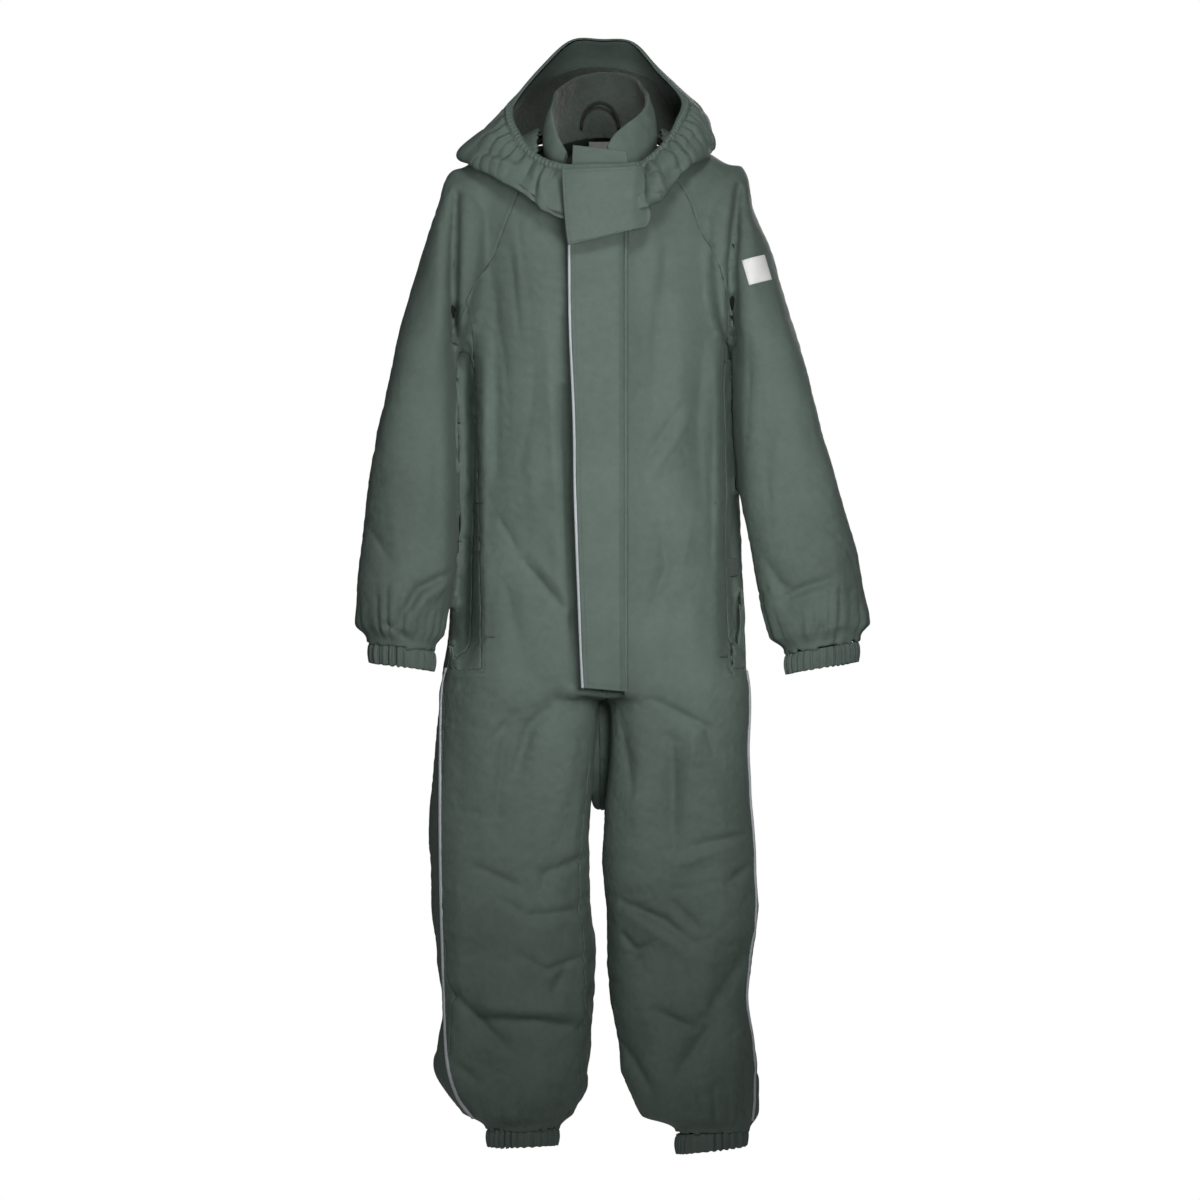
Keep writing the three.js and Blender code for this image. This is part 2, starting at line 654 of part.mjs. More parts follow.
// A strap 4 mm wide, bent into a loop that is sewn into the back of the neck.
function hangerLoop() {
  const path = new THREE.CatmullRomCurve3([
    new THREE.Vector3(-20, 35, -18),
    new THREE.Vector3(-13, 33, 2),
    new THREE.Vector3(0, 32, 8),
    new THREE.Vector3(13, 33, 2),
    new THREE.Vector3(20, 35, -18),
  ]);
  const strap = new THREE.Shape([[-1, -2], [1, -2], [1, 2], [-1, 2]].map((p) => new THREE.Vector2(...p)));
  return new THREE.ExtrudeGeometry(strap, { steps: 8, extrudePath: path, bevelEnabled: false });
}
const BADGE = { size: [26, 1.2, 28], lean: 0.28, middle: [165, -58, -174] };
const badge = new THREE.BoxGeometry(...BADGE.size);
badge.rotateY(BADGE.lean);
badge.translate(...BADGE.middle);
add("sleeve_badge", badge, "badge");

const PIPING_END = -1060;
// A row of points down a leg or sleeve, on its front face, inset from its outer edge.
function seamLine(sections, direction, inset, lift) {
  return sections.map(([z, low, high, cy, depth]) => {
    const half = (high - low) / 2;
    const share = 1 - inset / half;
    const y = cy - depth * (1 - share ** ROUND) ** (1 / ROUND);
    const edge = direction < 0 ? low + inset : high - inset;
    return new THREE.Vector3(edge + direction * lift, y - lift, z);
  });
}
for (const [side, direction, sections] of [["right", -1, LEG_R], ["left", 1, LEG_L]]) {
  const belt = sections.filter(([z]) => z < HIP_Z - 1 && z > PIPING_END);
  const line = seamLine(belt, direction, 12, 2.4);
  const path = new THREE.CatmullRomCurve3(line);
  const cord = new THREE.Shape();
  cord.absarc(0, 0, 1.4, 0, 2 * Math.PI);
  const options = { steps: 16, extrudePath: path, bevelEnabled: false, curveSegments: 3 };
  add(`leg_piping_${side}`, new THREE.ExtrudeGeometry(cord, options), "piping");
}
// Pocket bags hang flat behind the side panels.
const POCKET = { inner: 62, outer: 108, top: -440, bottom: -585, back: -39.6, thick: 1.4 };
for (const [side, direction] of [["right", -1], ["left", 1]]) {
  const edges = [direction * POCKET.inner, direction * POCKET.outer].sort((a, b) => a - b);
  const depth = [POCKET.back - POCKET.thick, POCKET.back];
  add(`pocket_bag_${side}`, block(...edges, ...depth, POCKET.bottom, POCKET.top), "lining");
}

export default overall;
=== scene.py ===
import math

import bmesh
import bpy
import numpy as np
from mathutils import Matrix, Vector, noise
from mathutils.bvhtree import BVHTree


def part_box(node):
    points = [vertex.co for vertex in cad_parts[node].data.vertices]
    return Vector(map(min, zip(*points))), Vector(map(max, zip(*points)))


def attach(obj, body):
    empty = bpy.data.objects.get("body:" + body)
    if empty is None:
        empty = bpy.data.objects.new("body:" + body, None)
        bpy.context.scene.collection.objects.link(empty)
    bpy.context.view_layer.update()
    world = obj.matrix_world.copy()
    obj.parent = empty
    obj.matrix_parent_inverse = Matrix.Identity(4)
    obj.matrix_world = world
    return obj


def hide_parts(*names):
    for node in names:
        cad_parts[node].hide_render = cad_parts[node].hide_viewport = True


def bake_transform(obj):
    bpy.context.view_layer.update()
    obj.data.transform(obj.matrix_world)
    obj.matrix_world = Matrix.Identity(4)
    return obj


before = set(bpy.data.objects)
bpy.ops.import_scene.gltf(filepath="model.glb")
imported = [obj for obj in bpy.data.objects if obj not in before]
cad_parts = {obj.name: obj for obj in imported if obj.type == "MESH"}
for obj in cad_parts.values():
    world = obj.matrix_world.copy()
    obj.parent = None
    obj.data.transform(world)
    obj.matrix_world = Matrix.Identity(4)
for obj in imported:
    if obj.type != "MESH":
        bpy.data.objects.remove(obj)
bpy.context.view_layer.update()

# %% [markdown]
# # A child's hooded overall, hanging
# The overall is cut from a coated, padded cloth and hangs empty. Its outer cloth is one
# bag with four tubes, so it is first made as one surface. That surface gets its folds,
# is relaxed as cloth, and only then is cut along the seams into the real pattern pieces.
# Lengths below are in millimetres and are turned into metres where a mesh is made.

MM = 0.001
ROUND, LEG_ROUND = 2.0, 2.45  # superellipse exponents: an oval body, flatter legs
LEGS_END_BELOW = -1000  # only the legs' sections reach down past this height
SIDES = (("right", -1), ("left", 1))  # the wearer's sides, and the sign of x on each
CLOTH_STEP = 5.0  # size of one face of the cloth before it is refined
RELAX_FRAMES = 18
scene = bpy.context.scene


# %% Mesh helpers
def make_mesh(name, points, faces, smooth=True):
    mesh = bpy.data.meshes.new(name)
    mesh.from_pydata([tuple(p) for p in points], [], [tuple(f) for f in faces])
    mesh.update()
    obj = bpy.data.objects.new(name, mesh)
    scene.collection.objects.link(obj)
    if smooth:
        mesh.shade_smooth()
    return obj


def baked(obj, name=None):
    """The object with its modifiers applied, as a new plain mesh."""
    bpy.context.view_layer.update()
    graph = bpy.context.evaluated_depsgraph_get()
    mesh = bpy.data.meshes.new_from_object(obj.evaluated_get(graph))
    obj.modifiers.clear()
    old = obj.data
    obj.data = mesh
    mesh.name = name or obj.name
    if old.users == 0:
        bpy.data.meshes.remove(old)
    return obj


def points_of(obj):
    co = np.empty(len(obj.data.vertices) * 3)
    obj.data.vertices.foreach_get("co", co)
    return co.reshape(-1, 3)


def set_points(obj, co):
    obj.data.vertices.foreach_set("co", np.asarray(co, float).ravel())
    obj.data.update()


def normals_of(obj):
    n = np.empty(len(obj.data.vertices) * 3)
    obj.data.vertex_normals.foreach_get("vector", n)
    return n.reshape(-1, 3)


def smoothstep(low, high, value):
    t = np.clip((value - low) / (high - low), 0, 1)
    return t * t * (3 - 2 * t)


def spline(points, count, closed=False):
    """Points evenly spaced in parameter along a Catmull-Rom curve."""
    p = np.array(points, float)
    n = len(p)
    s = np.linspace(0, n if closed else n - 1, count, endpoint=not closed)
    i = np.minimum(s.astype(int), n - 1 if closed else n - 2)
    t = (s - i)[:, None]
    pick = (lambda k: p[k % n]) if closed else (lambda k: p[np.clip(k, 0, n - 1)])
    a, b, c, d = pick(i - 1), pick(i), pick(i + 1), pick(i + 2)
    return 0.5 * (
        2 * b
        + (c - a) * t
        + (2 * a - 5 * b + 4 * c - d) * t**2
        + (3 * b - a - 3 * c + d) * t**3
    )


def fractal(co, scale, seed=0.0, octaves=2):
    """Smooth noise at each point; scale is the wavelength per axis in millimetres."""
    sx, sy, sz = (1 / s for s in scale)
    out = np.empty(len(co))
    for k, (x, y, z) in enumerate(co):
        p = Vector((x * sx + seed, y * sy - seed, z * sz + 2 * seed))
        out[k] = noise.fractal(p, 1.0, 2.0, octaves)
    return out


def grid_faces(rows, cols, wrap_cols=False, wrap_rows=False):
    faces = []
    for r in range(rows if wrap_rows else rows - 1):
        for c in range(cols if wrap_cols else cols - 1):
            a = r * cols + c
            b = r * cols + (c + 1) % cols
            q = (r + 1) % rows * cols
            faces.append((a, b, q + (c + 1) % cols, q + c))
    return faces


# %% [markdown]
# ## The body's volume
# Each tube is a stack of soft-cornered sections: height, least and greatest x, the
# centre's depth, half the depth, and a tilt where the opening is not level.

# %% Sections of the body
TORSO = [
    (-8, -48, 48, 24, 26), (-22, -72, 72, 13, 40), (-40, -108, 104, 6, 52),
    (-58, -140, 134, 4, 60), (-75, -152, 149, 3, 66), (-104, -153, 149, 2, 72),
    (-150, -150, 144, 3, 76), (-210, -149, 141, 5, 77), (-260, -150, 141, 8, 78),
    (-330, -152, 146, 9, 78), (-420, -154, 151, 8, 77), (-500, -157, 155, 6, 76),
    (-560, -161, 157, 3, 75), (-600, -166, 159, 1, 74), (-622, -166, 158, 0, 70),
]
SLEEVE_R = [
    (-64, -158, -138, 0, 12), (-80, -166, -118, -4, 30), (-100, -171, -112, -8, 40),
    (-142, -185, -114, -14, 46), (-184, -197, -118, -20, 48), (-226, -209, -132, -26, 48),
    (-252, -216, -147, -31, 46), (-280, -221, -150, -34, 44), (-330, -233, -148, -36, 43),
    (-394, -245, -147, -37, 42), (-460, -251, -149, -36, 41), (-520, -255, -157, -35, 40),
    (-545, -254, -163, -34, 38), (-560, -249, -169, -33, 35, -0.10),
    (-572, -243, -175, -33, 31, -0.12), (-588, -241, -177, -33, 29, -0.12),
]
SLEEVE_L = [
    (-60, 136, 152, 0, 12), (-78, 116, 158, -4, 30), (-100, 108, 161, -8, 40),
    (-142, 106, 176, -14, 46), (-184, 108, 190, -20, 48), (-226, 120, 204, -26, 48),
    (-252, 136, 212, -31, 46), (-280, 139, 220, -34, 44), (-330, 141, 232, -36, 43),
    (-394, 145, 250, -37, 42), (-460, 155, 268, -36, 41), (-520, 167, 279, -35, 40),
    (-545, 177, 281, -34, 38), (-560, 185, 277, -33, 35, 0.13),
    (-572, 194, 272, -33, 31, 0.16), (-588, 196, 270, -33, 29, 0.16),
]
LEG_R = [
    (-566, -150, -10, 2, 58), (-600, -166, 0, 1, 68), (-640, -169, -3, 0, 67),
    (-690, -173, -6, 1, 66), (-750, -178, -10, 2, 64), (-800, -178, -11, 2, 62),
    (-860, -177, -9, 2, 61), (-900, -171, -6, 2, 60), (-950, -169, -7, 2, 60),
    (-990, -172, -9, 2, 58), (-1022, -173, -13, 1, 56), (-1045, -160, -21, 0, 51),
    (-1064, -144, -31, 0, 44), (-1082, -125, -39, 0, 36), (-1098, -118, -44, 0, 31),
]
LEG_L = [
    (-566, 10, 150, 2, 58), (-600, 6, 159, 1, 68), (-640, 12, 161, 0, 67),
    (-690, 11, 160, 1, 66), (-750, 5, 164, 2, 64), (-800, 3, 167, 2, 62),
    (-860, 9, 167, 2, 61), (-900, 10, 161, 2, 60), (-950, 12, 157, 2, 60),
    (-990, 18, 164, 2, 58), (-1022, 24, 167, 1, 56), (-1045, 33, 166, 0, 51),
    (-1066, 50, 163, 0, 44), (-1084, 74, 158, 0, 36), (-1100, 83, 155, 0, 31),
]
SEAT = [(-600, -20, 26, 36, 32), (-650, -17, 23, 40, 28), (-705, -13, 18, 44, 20),
        (-744, -8, 10, 48, 8)]


def section_rings(sections, sides, grow=0.0, step=4.0, exponent=ROUND):
    """Rings of a tube, smooth between the given sections. Shape (rings, sides, 3)."""
    rows = np.array([tuple(s) + (0.0,) * (6 - len(s)) for s in sections], float)
    down = -rows[:, 0]
    tangent = np.gradient(rows[:, 1:], down, axis=0)
    at = np.append(np.arange(down[0], down[-1] - step / 2, step), down[-1])
    i = np.clip(np.searchsorted(down, at, "right") - 1, 0, len(down) - 2)
    h = (down[i + 1] - down[i])[:, None]
    t = (at - down[i])[:, None] / h
    low, high, cy, depth, slope = (
        (2 * t**3 - 3 * t**2 + 1) * rows[i, 1:]
        + (t**3 - 2 * t**2 + t) * h * tangent[i]
        + (3 * t**2 - 2 * t**3) * rows[i + 1, 1:]
        + (t**3 - t**2) * h * tangent[i + 1]
    ).T[:, :, None]
    angle = (np.arange(sides) + 0.5) / sides * 2 * np.pi
    power = lambda v: np.sign(v) * np.abs(v) ** (2 / exponent)
    cx = (low + high) / 2
    x = cx + ((high - low) / 2 + grow) * power(np.cos(angle))[None]
    y = cy + (depth + grow) * power(np.sin(angle))[None]
    z = -at[:, None] + slope * (x - cx)
    return np.stack([x, y, z], axis=2)


def tube(name, sections, sides=72, grow=0.0, step=4.0, capped=True):
    exponent = LEG_ROUND if sections[-1][0] < LEGS_END_BELOW else ROUND
    rings = section_rings(sections, sides, grow, step, exponent)
    rows = len(rings)
    points = rings.reshape(-1, 3)
    faces = [f[::-1] for f in grid_faces(rows, sides, wrap_cols=True)]
    if capped:
        faces.append(tuple(range(sides)))
        faces.append(tuple(range(rows * sides - 1, (rows - 1) * sides - 1, -1)))
    return make_mesh(name, points * MM, faces)


# %% One surface for the whole body
parts = [
    tube(f"part_{k}", s)
    for k, s in enumerate([TORSO, SLEEVE_R, SLEEVE_L, LEG_R, LEG_L, SEAT])
]
joined = bmesh.new()
for part in parts:
    joined.from_mesh(part.data)
    bpy.data.objects.remove(part)
bmesh.ops.triangulate(joined, faces=joined.faces[:])
bmesh.ops.recalc_face_normals(joined, faces=joined.faces[:])
body = make_mesh("body_cloth", [], [])
joined.to_mesh(body.data)
joined.free()
remesh = body.modifiers.new("remesh", "REMESH")
remesh.mode = "VOXEL"
remesh.voxel_size = CLOTH_STEP * MM
soften = body.modifiers.new("soften", "SMOOTH")
soften.factor = 0.5
soften.iterations = 8
baked(body)
print("body cloth:", len(body.data.polygons), "faces")


# %% [markdown]
# ## Folds
# An empty padded overall hangs in long soft folds from the shoulders, with short sharp
# creases at the knees and above each elastic. The long folds are noise stretched along
# the drop. The larger folds are laid one by one: each is a line in the front view with a
# width and a height, a valley when the height is negative.

# %% Folds on the front
# (points of the line as x, z; half width; height)
FOLDS = [
    # the deep creases from the shoulders to the underarms
    ([(-152, -92), (-153, -150), (-152, -275)], 6.5, -5.5), ([(-168, -100), (-168, -240)], 12, 3.0),
    ([(147, -84), (138, -170), (139, -270)], 6.5, -5.5), ([(160, -100), (155, -240)], 12, 3.0),
    ([(-37, -300), (-32, -450), (-27, -606)], 5, -4.5), ([(-52, -280), (-46, -420)], 8, 2.4),
    ([(-95, -150), (-84, -250)], 8, -2.0), ([(70, -140), (66, -240)], 8, -2.2),
    ([(120, -300), (118, -480)], 7, -2.6), ([(-126, -300), (-122, -520)], 9, 2.2),
    ([(-96, -640), (-112, -760)], 10, -2.8), ([(20, -640), (34, -720)], 9, -2.6),
    ([(-20, -700), (-30, -790)], 8, 2.2), ([(100, -640), (92, -740)], 9, 2.6),
    ([(-126, -120), (-140, -230)], 9, 2.4), ([(118, -110), (128, -220)], 9, 2.2),
    # chest and belly
    ([(-87, -130), (-86, -260)], 9, 1.8), ([(-112, -200), (-110, -390)], 13, -2.6),
    ([(-57, -190), (-50, -330)], 14, 2.0), ([(-38, -230), (-30, -415)], 9, -3.4),
    ([(-74, -330), (-66, -470)], 12, 1.6), ([(-105, -435), (-86, -470)], 5, -1.8),
    ([(-80, -480), (-30, -540)], 6, -2.6), ([(-72, -472), (-24, -528)], 7, 2.2),
    ([(-60, -420), (-34, -500)], 14, 2.4), ([(-100, -500), (-84, -570)], 13, -1.8),
    ([(110, -250), (104, -330), (108, -420)], 12, -2.6), ([(84, -170), (80, -330)], 14, 1.8),
    ([(60, -200), (56, -320)], 10, -1.6), ([(92, -330), (52, -395)], 7, 2.2),
    ([(84, -318), (44, -380)], 6, -1.8), ([(64, -445), (70, -485), (52, -535)], 8, -2.6),
    ([(96, -425), (84, -500)], 10, 2.4), ([(100, -520), (92, -580)], 14, 1.6),
    ([(38, -300), (40, -520)], 9, -1.5), ([(136, -430), (146, -560)], 8, -2.5),
    # sleeves
    ([(-157, -492), (-189, -509), (-205, -533), (-212, -547)], 5, -5.0),
    ([(-160, -500), (-184, -518), (-198, -540)], 6, 3.2),
    ([(-224, -545), (-196, -565)], 4, -3.2), ([(-232, -250), (-222, -420)], 16, 1.8),
    ([(-170, -300), (-172, -440)], 14, -1.6), ([(-246, -440), (-220, -480)], 9, -1.6),
    ([(241, -499), (210, -509), (189, -520)], 6, -3.6),
    ([(236, -511), (204, -520)], 6, 2.8), ([(174, -480), (194, -515)], 10, -3.0),
    ([(252, -552), (247, -568)], 4, -3.2), ([(231, -545), (228, -566)], 4, -3.4),
    ([(196, -250), (218, -420)], 16, 1.6), ([(168, -300), (178, -440)], 14, -1.6),
    # right leg
    ([(-45, -625), (-74, -653), (-91, -712)], 13, -5.0), ([(-119, -670), (-88, -639)], 4, -1.6),
    ([(-28, -660), (-42, -740)], 15, 3.4), ([(-59, -807), (-11, -789)], 5, -2.4),
    ([(-54, -800), (-62, -828)], 9, -2.6), ([(-130, -800), (-84, -821)], 5, -2.4),
    ([(-101, -835), (-77, -852), (-14, -845)], 5, -2.8), ([(-96, -843), (-70, -860)], 7, 2.2),
    ([(-84, -894), (-56, -908), (-14, -894)], 5, -3.0), ([(-80, -904), (-20, -906)], 7, 2.4),
    ([(-154, -936), (-126, -964), (-101, -987)], 8, -4.6),
    ([(-126, -961), (-70, -962), (-18, -970)], 7, -4.2), ([(-120, -948), (-24, -954)], 9, 3.2),
    ([(-49, -933), (-35, -905)], 8, -2.6), ([(-154, -1006), (-129, -1027)], 7, -2.6),
    ([(-150, -760), (-146, -900)], 12, 2.0), ([(-110, -700), (-118, -790)], 14, 1.8),
    # left leg
    ([(75, -667), (77, -779)], 10, -4.2), ([(56, -625), (112, -653), (119, -681)], 6, -2.8),
    ([(95, -779), (147, -768)], 6, -2.8), ([(80, -800), (126, -779)], 7, 2.6),
    ([(136, -817), (158, -800)], 6, -3.0), ([(77, -838), (102, -863)], 6, -2.8),
    ([(24, -838), (66, -856), (98, -880)], 5, -4.0), ([(30, -850), (90, -890)], 7, 2.8),
    ([(24, -872), (36, -888), (50, -884)], 4, -3.6), ([(28, -893), (42, -896)], 4, -3.0),
    ([(56, -950), (98, -970)], 6, -3.6), ([(112, -957), (157, -894)], 14, -4.6),
    ([(80, -1020), (119, -964)], 12, -4.4), ([(24, -989), (56, -1041)], 9, -3.4),
    ([(128, -980), (150, -1010)], 12, 3.0), ([(44, -930), (60, -1000)], 12, 2.6),
    ([(110, -690), (130, -760)], 13, 2.6), ([(40, -680), (38, -780)], 13, 2.2),
]


def line_distance(x, z, line):
    """Distance to a line in the front view, and how far along it, from 0 to 1."""
    line = np.array(line, float)
    lengths = np.linalg.norm(np.diff(line, axis=0), axis=1)
    start = np.concatenate([[0], np.cumsum(lengths)])
    best = np.full(len(x), 1e9)
    along = np.zeros(len(x))
    for k in range(len(line) - 1):
        a, d = line[k], line[k + 1] - line[k]
        t = np.clip(((x - a[0]) * d[0] + (z - a[1]) * d[1]) / (d @ d), 0, 1)
        gap = np.hypot(x - a[0] - t * d[0], z - a[1] - t * d[1])
        closer = gap < best
        best = np.where(closer, gap, best)
        along = np.where(closer, (start[k] + t * lengths[k]) / start[-1], along)
    return best, along


def hand_folds(co, lift_of=FOLDS):
    x, z = co[:, 0], co[:, 2]
    height = np.zeros(len(co))
    for line, width, lift in lift_of:
        gap, along = line_distance(x, z, line)
        taper = np.clip(4 * along * (1 - along), 0.25, 1) ** 0.5
        height += lift * taper * np.exp(-np.abs(gap / width) ** 1.5)
    return height


def creases(co, scale, seed, sharp=0.07):
    """A net of narrow valleys: the places where a slow noise passes through zero."""
    lines = fractal(co, scale, seed, 2)
    some = np.clip(0.5 + 1.6 * fractal(co, (90, 90, 120), seed + 50, 1), 0, 1)
    return -np.exp(-np.abs(lines / sharp) ** 1.3) * some


co = points_of(body) / MM
normal = normals_of(body)
front = smoothstep(0.15, 0.75, -normal[:, 1])
back = smoothstep(0.15, 0.75, normal[:, 1])
x, y, z = co.T
low_leg = smoothstep(-740, -900, z)
drape = fractal(co, (48, 70, 300), 3.1)
crumple = fractal(co, (75, 80, 55), 9.7, 3)
flat_chest = 1 - 0.75 * front * smoothstep(46, 30, np.abs(x - 2)) * smoothstep(-600, -560, z)
away = 3.0 * drape * flat_chest + (1.2 + 2.2 * low_leg) * crumple * flat_chest
away += 1.45 * hand_folds(co) * front
away += (0.9 + 1.3 * low_leg) * creases(co, (190, 190, 120), 63.0, 0.05) * flat_chest
away += 1.6 * creases(co, (70, 90, 330), 81.0) * smoothstep(-620, -540, z) * flat_chest
# The back, which nobody has smoothed, carries the same kinds of fold.
mirrored = co * (-1, 1, 1)
away += 1.0 * hand_folds(mirrored) * back * smoothstep(-560, -620, z)
away += 2.4 * fractal(co, (42, 60, 210), 21.3) * back
top = smoothstep(-40, -90, z)
co += normal * (away * top)[:, None]
# The body's flanks draw back behind the sleeves, which leaves a dark gap beside each.
# Where a sleeve parts from the body: x at the front, how x drifts towards the back, and
# how it drifts further down.
BETWEEN = {"right": (-149.0, -0.44, 0.0), "left": (139.0, 0.45, 0.06)}
FLANK_DEPTH = 26
for side, sign in SIDES:
    base, lean, _ = BETWEEN[side]
    flank = (x * sign > 0) & ((x - base - lean * np.maximum(y + 35, 0)) * sign < 0) & (y < 20)
    recess = smoothstep(120, 144, np.abs(x)) * smoothstep(-230, -310, z) * smoothstep(-600, -555, z)
    co[:, 1] += FLANK_DEPTH * recess * flank

# %% Neck hole
def above_neck(points):
    x, y, z = points.T
    return (z > -62 + 0.6 * y) & (np.abs(x) < 66) & (y < 56)


set_points(body, co * MM)
trim = bmesh.new()
trim.from_mesh(body.data)
centres = np.array([f.calc_center_median() for f in trim.faces]) / MM
drop = above_neck(centres)
faces = [f for f, out in zip(list(trim.faces), drop) if out]
bmesh.ops.delete(trim, geom=faces, context="FACES")
# The mouths of the sleeves and legs are open: their end caps go.
MOUTHS = {
    "sleeve_right": ((-209.5, -33, -573), -0.12),
    "sleeve_left": ((233.5, -33, -573), 0.16),
    "leg_right": ((-83, 0, -1083), 0.0),
    "leg_left": ((118, 0, -1086), 0.0),
}
for (mx, my, mz), slope in MOUTHS.values():
    caps = []
    for f in trim.faces:
        c = f.calc_center_median() / MM
        mouth = 41 if abs(mx) > 180 else 60
        near = abs(c.x - mx) < mouth and abs(c.y - my) < 50
        if near and mz - 40 < c.z < mz + 3.5 + slope * (c.x - mx):
            caps.append(f)
    bmesh.ops.delete(trim, geom=caps, context="FACES")
trim.to_mesh(body.data)
trim.free()
print("after the openings:", len(body.data.polygons), "faces")


# %% [markdown]
# ## Relaxing the surface as cloth
# The shape above is right from far away but its folds are too regular. A short cloth
# simulation with soft pins and a little slack lets the folds find each other. The result
# is capped, so the outline stays where it was.

# %% Cloth simulation
def relax(obj, slack=0.02, hold=0.55, frames=RELAX_FRAMES, cap=6.0):
    before = points_of(obj)
    group = obj.vertex_groups.new(name="hold")
    edge_verts = np.zeros(len(before), bool)
    counts = np.zeros(len(obj.data.edges), int)
    loops = np.empty(len(obj.data.loops), int)
    obj.data.loops.foreach_get("edge_index", loops)
    np.add.at(counts, loops, 1)
    pairs = np.empty(len(obj.data.edges) * 2, int)
    obj.data.edges.foreach_get("vertices", pairs)
    edge_verts[pairs.reshape(-1, 2)[counts == 1].ravel()] = True
    group.add([int(i) for i in np.flatnonzero(~edge_verts)], hold, "REPLACE")
    group.add([int(i) for i in np.flatnonzero(edge_verts)], 1.0, "REPLACE")
    cloth = obj.modifiers.new("cloth", "CLOTH")
    c = cloth.settings
    c.quality = 5
    c.mass = 0.25
    c.tension_stiffness = c.compression_stiffness = 12
    c.shear_stiffness = 6
    c.bending_stiffness = 1.5
    c.air_damping = 3
    c.vertex_group_mass = "hold"
    c.pin_stiffness = 0.6
    c.shrink_min = -slack
    cloth.collision_settings.use_collision = False
    cloth.collision_settings.use_self_collision = False
    scene.frame_start, scene.frame_end = 1, frames
    cloth.point_cache.frame_start, cloth.point_cache.frame_end = 1, frames
    for frame_number in range(1, frames + 1):
        scene.frame_set(frame_number)
    graph = bpy.context.evaluated_depsgraph_get()
    done = bpy.data.meshes.new_from_object(obj.evaluated_get(graph))
    after = np.empty(len(done.vertices) * 3)
    done.vertices.foreach_get("co", after)
    bpy.data.meshes.remove(done)
    obj.modifiers.remove(cloth)
    obj.vertex_groups.clear()
    scene.frame_set(1)
    shift = after.reshape(-1, 3) - before
    size = np.linalg.norm(shift, axis=1, keepdims=True)
    print("relaxed:", "mean", size.mean() / MM, "mm, greatest", size.max() / MM, "mm")
    limited = np.minimum(size, cap * MM) / np.maximum(size, 1e-9)
    set_points(obj, before + shift * limited)


relax(body)


# %% [markdown]
# ## Cutting along the seams
# The real garment is sewn from flat pieces, so the relaxed surface is cut where the
# seams run: the raglan seams from neck to underarm, the pocket seams down the front, the
# side seams, the inside leg and the centre back.

# %% Seam lines
RAGLAN = {
    "right": [(-58, -40), (-80, -84), (-89, -100), (-103, -135), (-112, -159),
              (-128, -184), (-140, -208), (-151, -236), (-158, -262)],
    "left": [(56, -40), (84, -84), (94, -100), (103, -128), (115, -149), (126, -173),
             (134, -201), (139, -236), (144, -262)],
}
POCKET_SEAM = {
    "right": [(-140, -206), (-135, -229), (-132, -324), (-128, -422), (-125, -576), (-126, -592)],
    "left": [(135, -206), (133, -289), (133, -422), (138, -576), (140, -592)],
}
SIDE_SEAM = {  # y, z
    "right": [(-12, 0), (-12, -540), (-32, -650), (-34, -1000), (-18, -1056), (-12, -1120)],
    "left": [(-12, 0), (-12, -540), (-15, -650), (-15, -1000), (-9, -1056), (-6, -1120)],
}
HIP_X, SLEEVE_END = 165.5, -590  # past this x, and above this height, cloth is sleeve


def curve_through(line, step=14.0):
    length = sum(math.dist(a, b) for a, b in zip(line, line[1:]))
    return spline(line, max(4, int(length / step)))


def at_height(line, z):
    line = np.array(line, float)
    order = np.argsort(line[:, 1])
    return np.interp(z, line[order, 1], line[order, 0])


def cut_along(bm, line, axis, allowed, reach=14.0):
    """Cuts the faces near a line. axis is the direction looked along: 1 is y, 0 is x."""
    across = 1 - axis
    for a, b in zip(line, line[1:]):
        a3, b3, see = np.zeros(3), np.zeros(3), np.zeros(3)
        a3[[across, 2]], b3[[across, 2]], see[axis] = a, b, 1
        run = b3 - a3
        length = np.linalg.norm(run)
        run /= length
        plane = np.cross(run, see)
        faces = []
        for f in bm.faces:
            c = np.array(f.calc_center_median()) / MM - a3
            c[axis] = 0
            t = c @ run
            if -8 < t < length + 8 and abs(c @ plane) < reach and allowed(f):
                faces.append(f)
        if not faces:
            continue
        geom = set(faces)
        for f in faces:
            geom.update(f.edges)
            geom.update(f.verts)
        bmesh.ops.bisect_plane(
            bm, geom=list(geom), dist=0.25 * MM, plane_co=Vector(a3 * MM), plane_no=Vector(plane)
        )


panels = bmesh.new()
panels.from_mesh(body.data)
seam_y = lambda z, x: at_height(SIDE_SEAM["right" if x < 0 else "left"], z)


def is_front(f):
    c = f.calc_center_median() / MM
    return c.y < seam_y(c.z, c.x) + 12


def cut_between(side):
    """Parts the sleeve from the body where the two hang against each other."""
    base, lean, drop = BETWEEN[side]
    for start_z, end_z in ((-250, -332), (-332, -545)):
        for low_y, high_y, slope in ((-90, -33, 0.0), (-37, 60, lean)):
            x_at = lambda y, z: base + slope * (y + 35) + drop * max(-z - 330, 0)
            a = np.array([x_at(-35, start_z), -35, start_z])
            b = np.array([x_at(-35, end_z), -35, end_z])
            c = np.array([x_at(-25, start_z), -25, start_z])
            plane = np.cross(b - a, c - a)
            plane /= np.linalg.norm(plane)
            faces = []
            for f in panels.faces:
                m = np.array(f.calc_center_median()) / MM
                if end_z - 6 < m[2] < start_z + 6 and low_y < m[1] < high_y and abs((m - a) @ plane) < 12:
                    faces.append(f)
            geom = set(faces)
            for f in faces:
                geom.update(f.edges)
                geom.update(f.verts)
            if geom:
                bmesh.ops.bisect_plane(
                    panels, geom=list(geom), dist=0.25 * MM, plane_co=Vector(a * MM), plane_no=Vector(plane)
                )


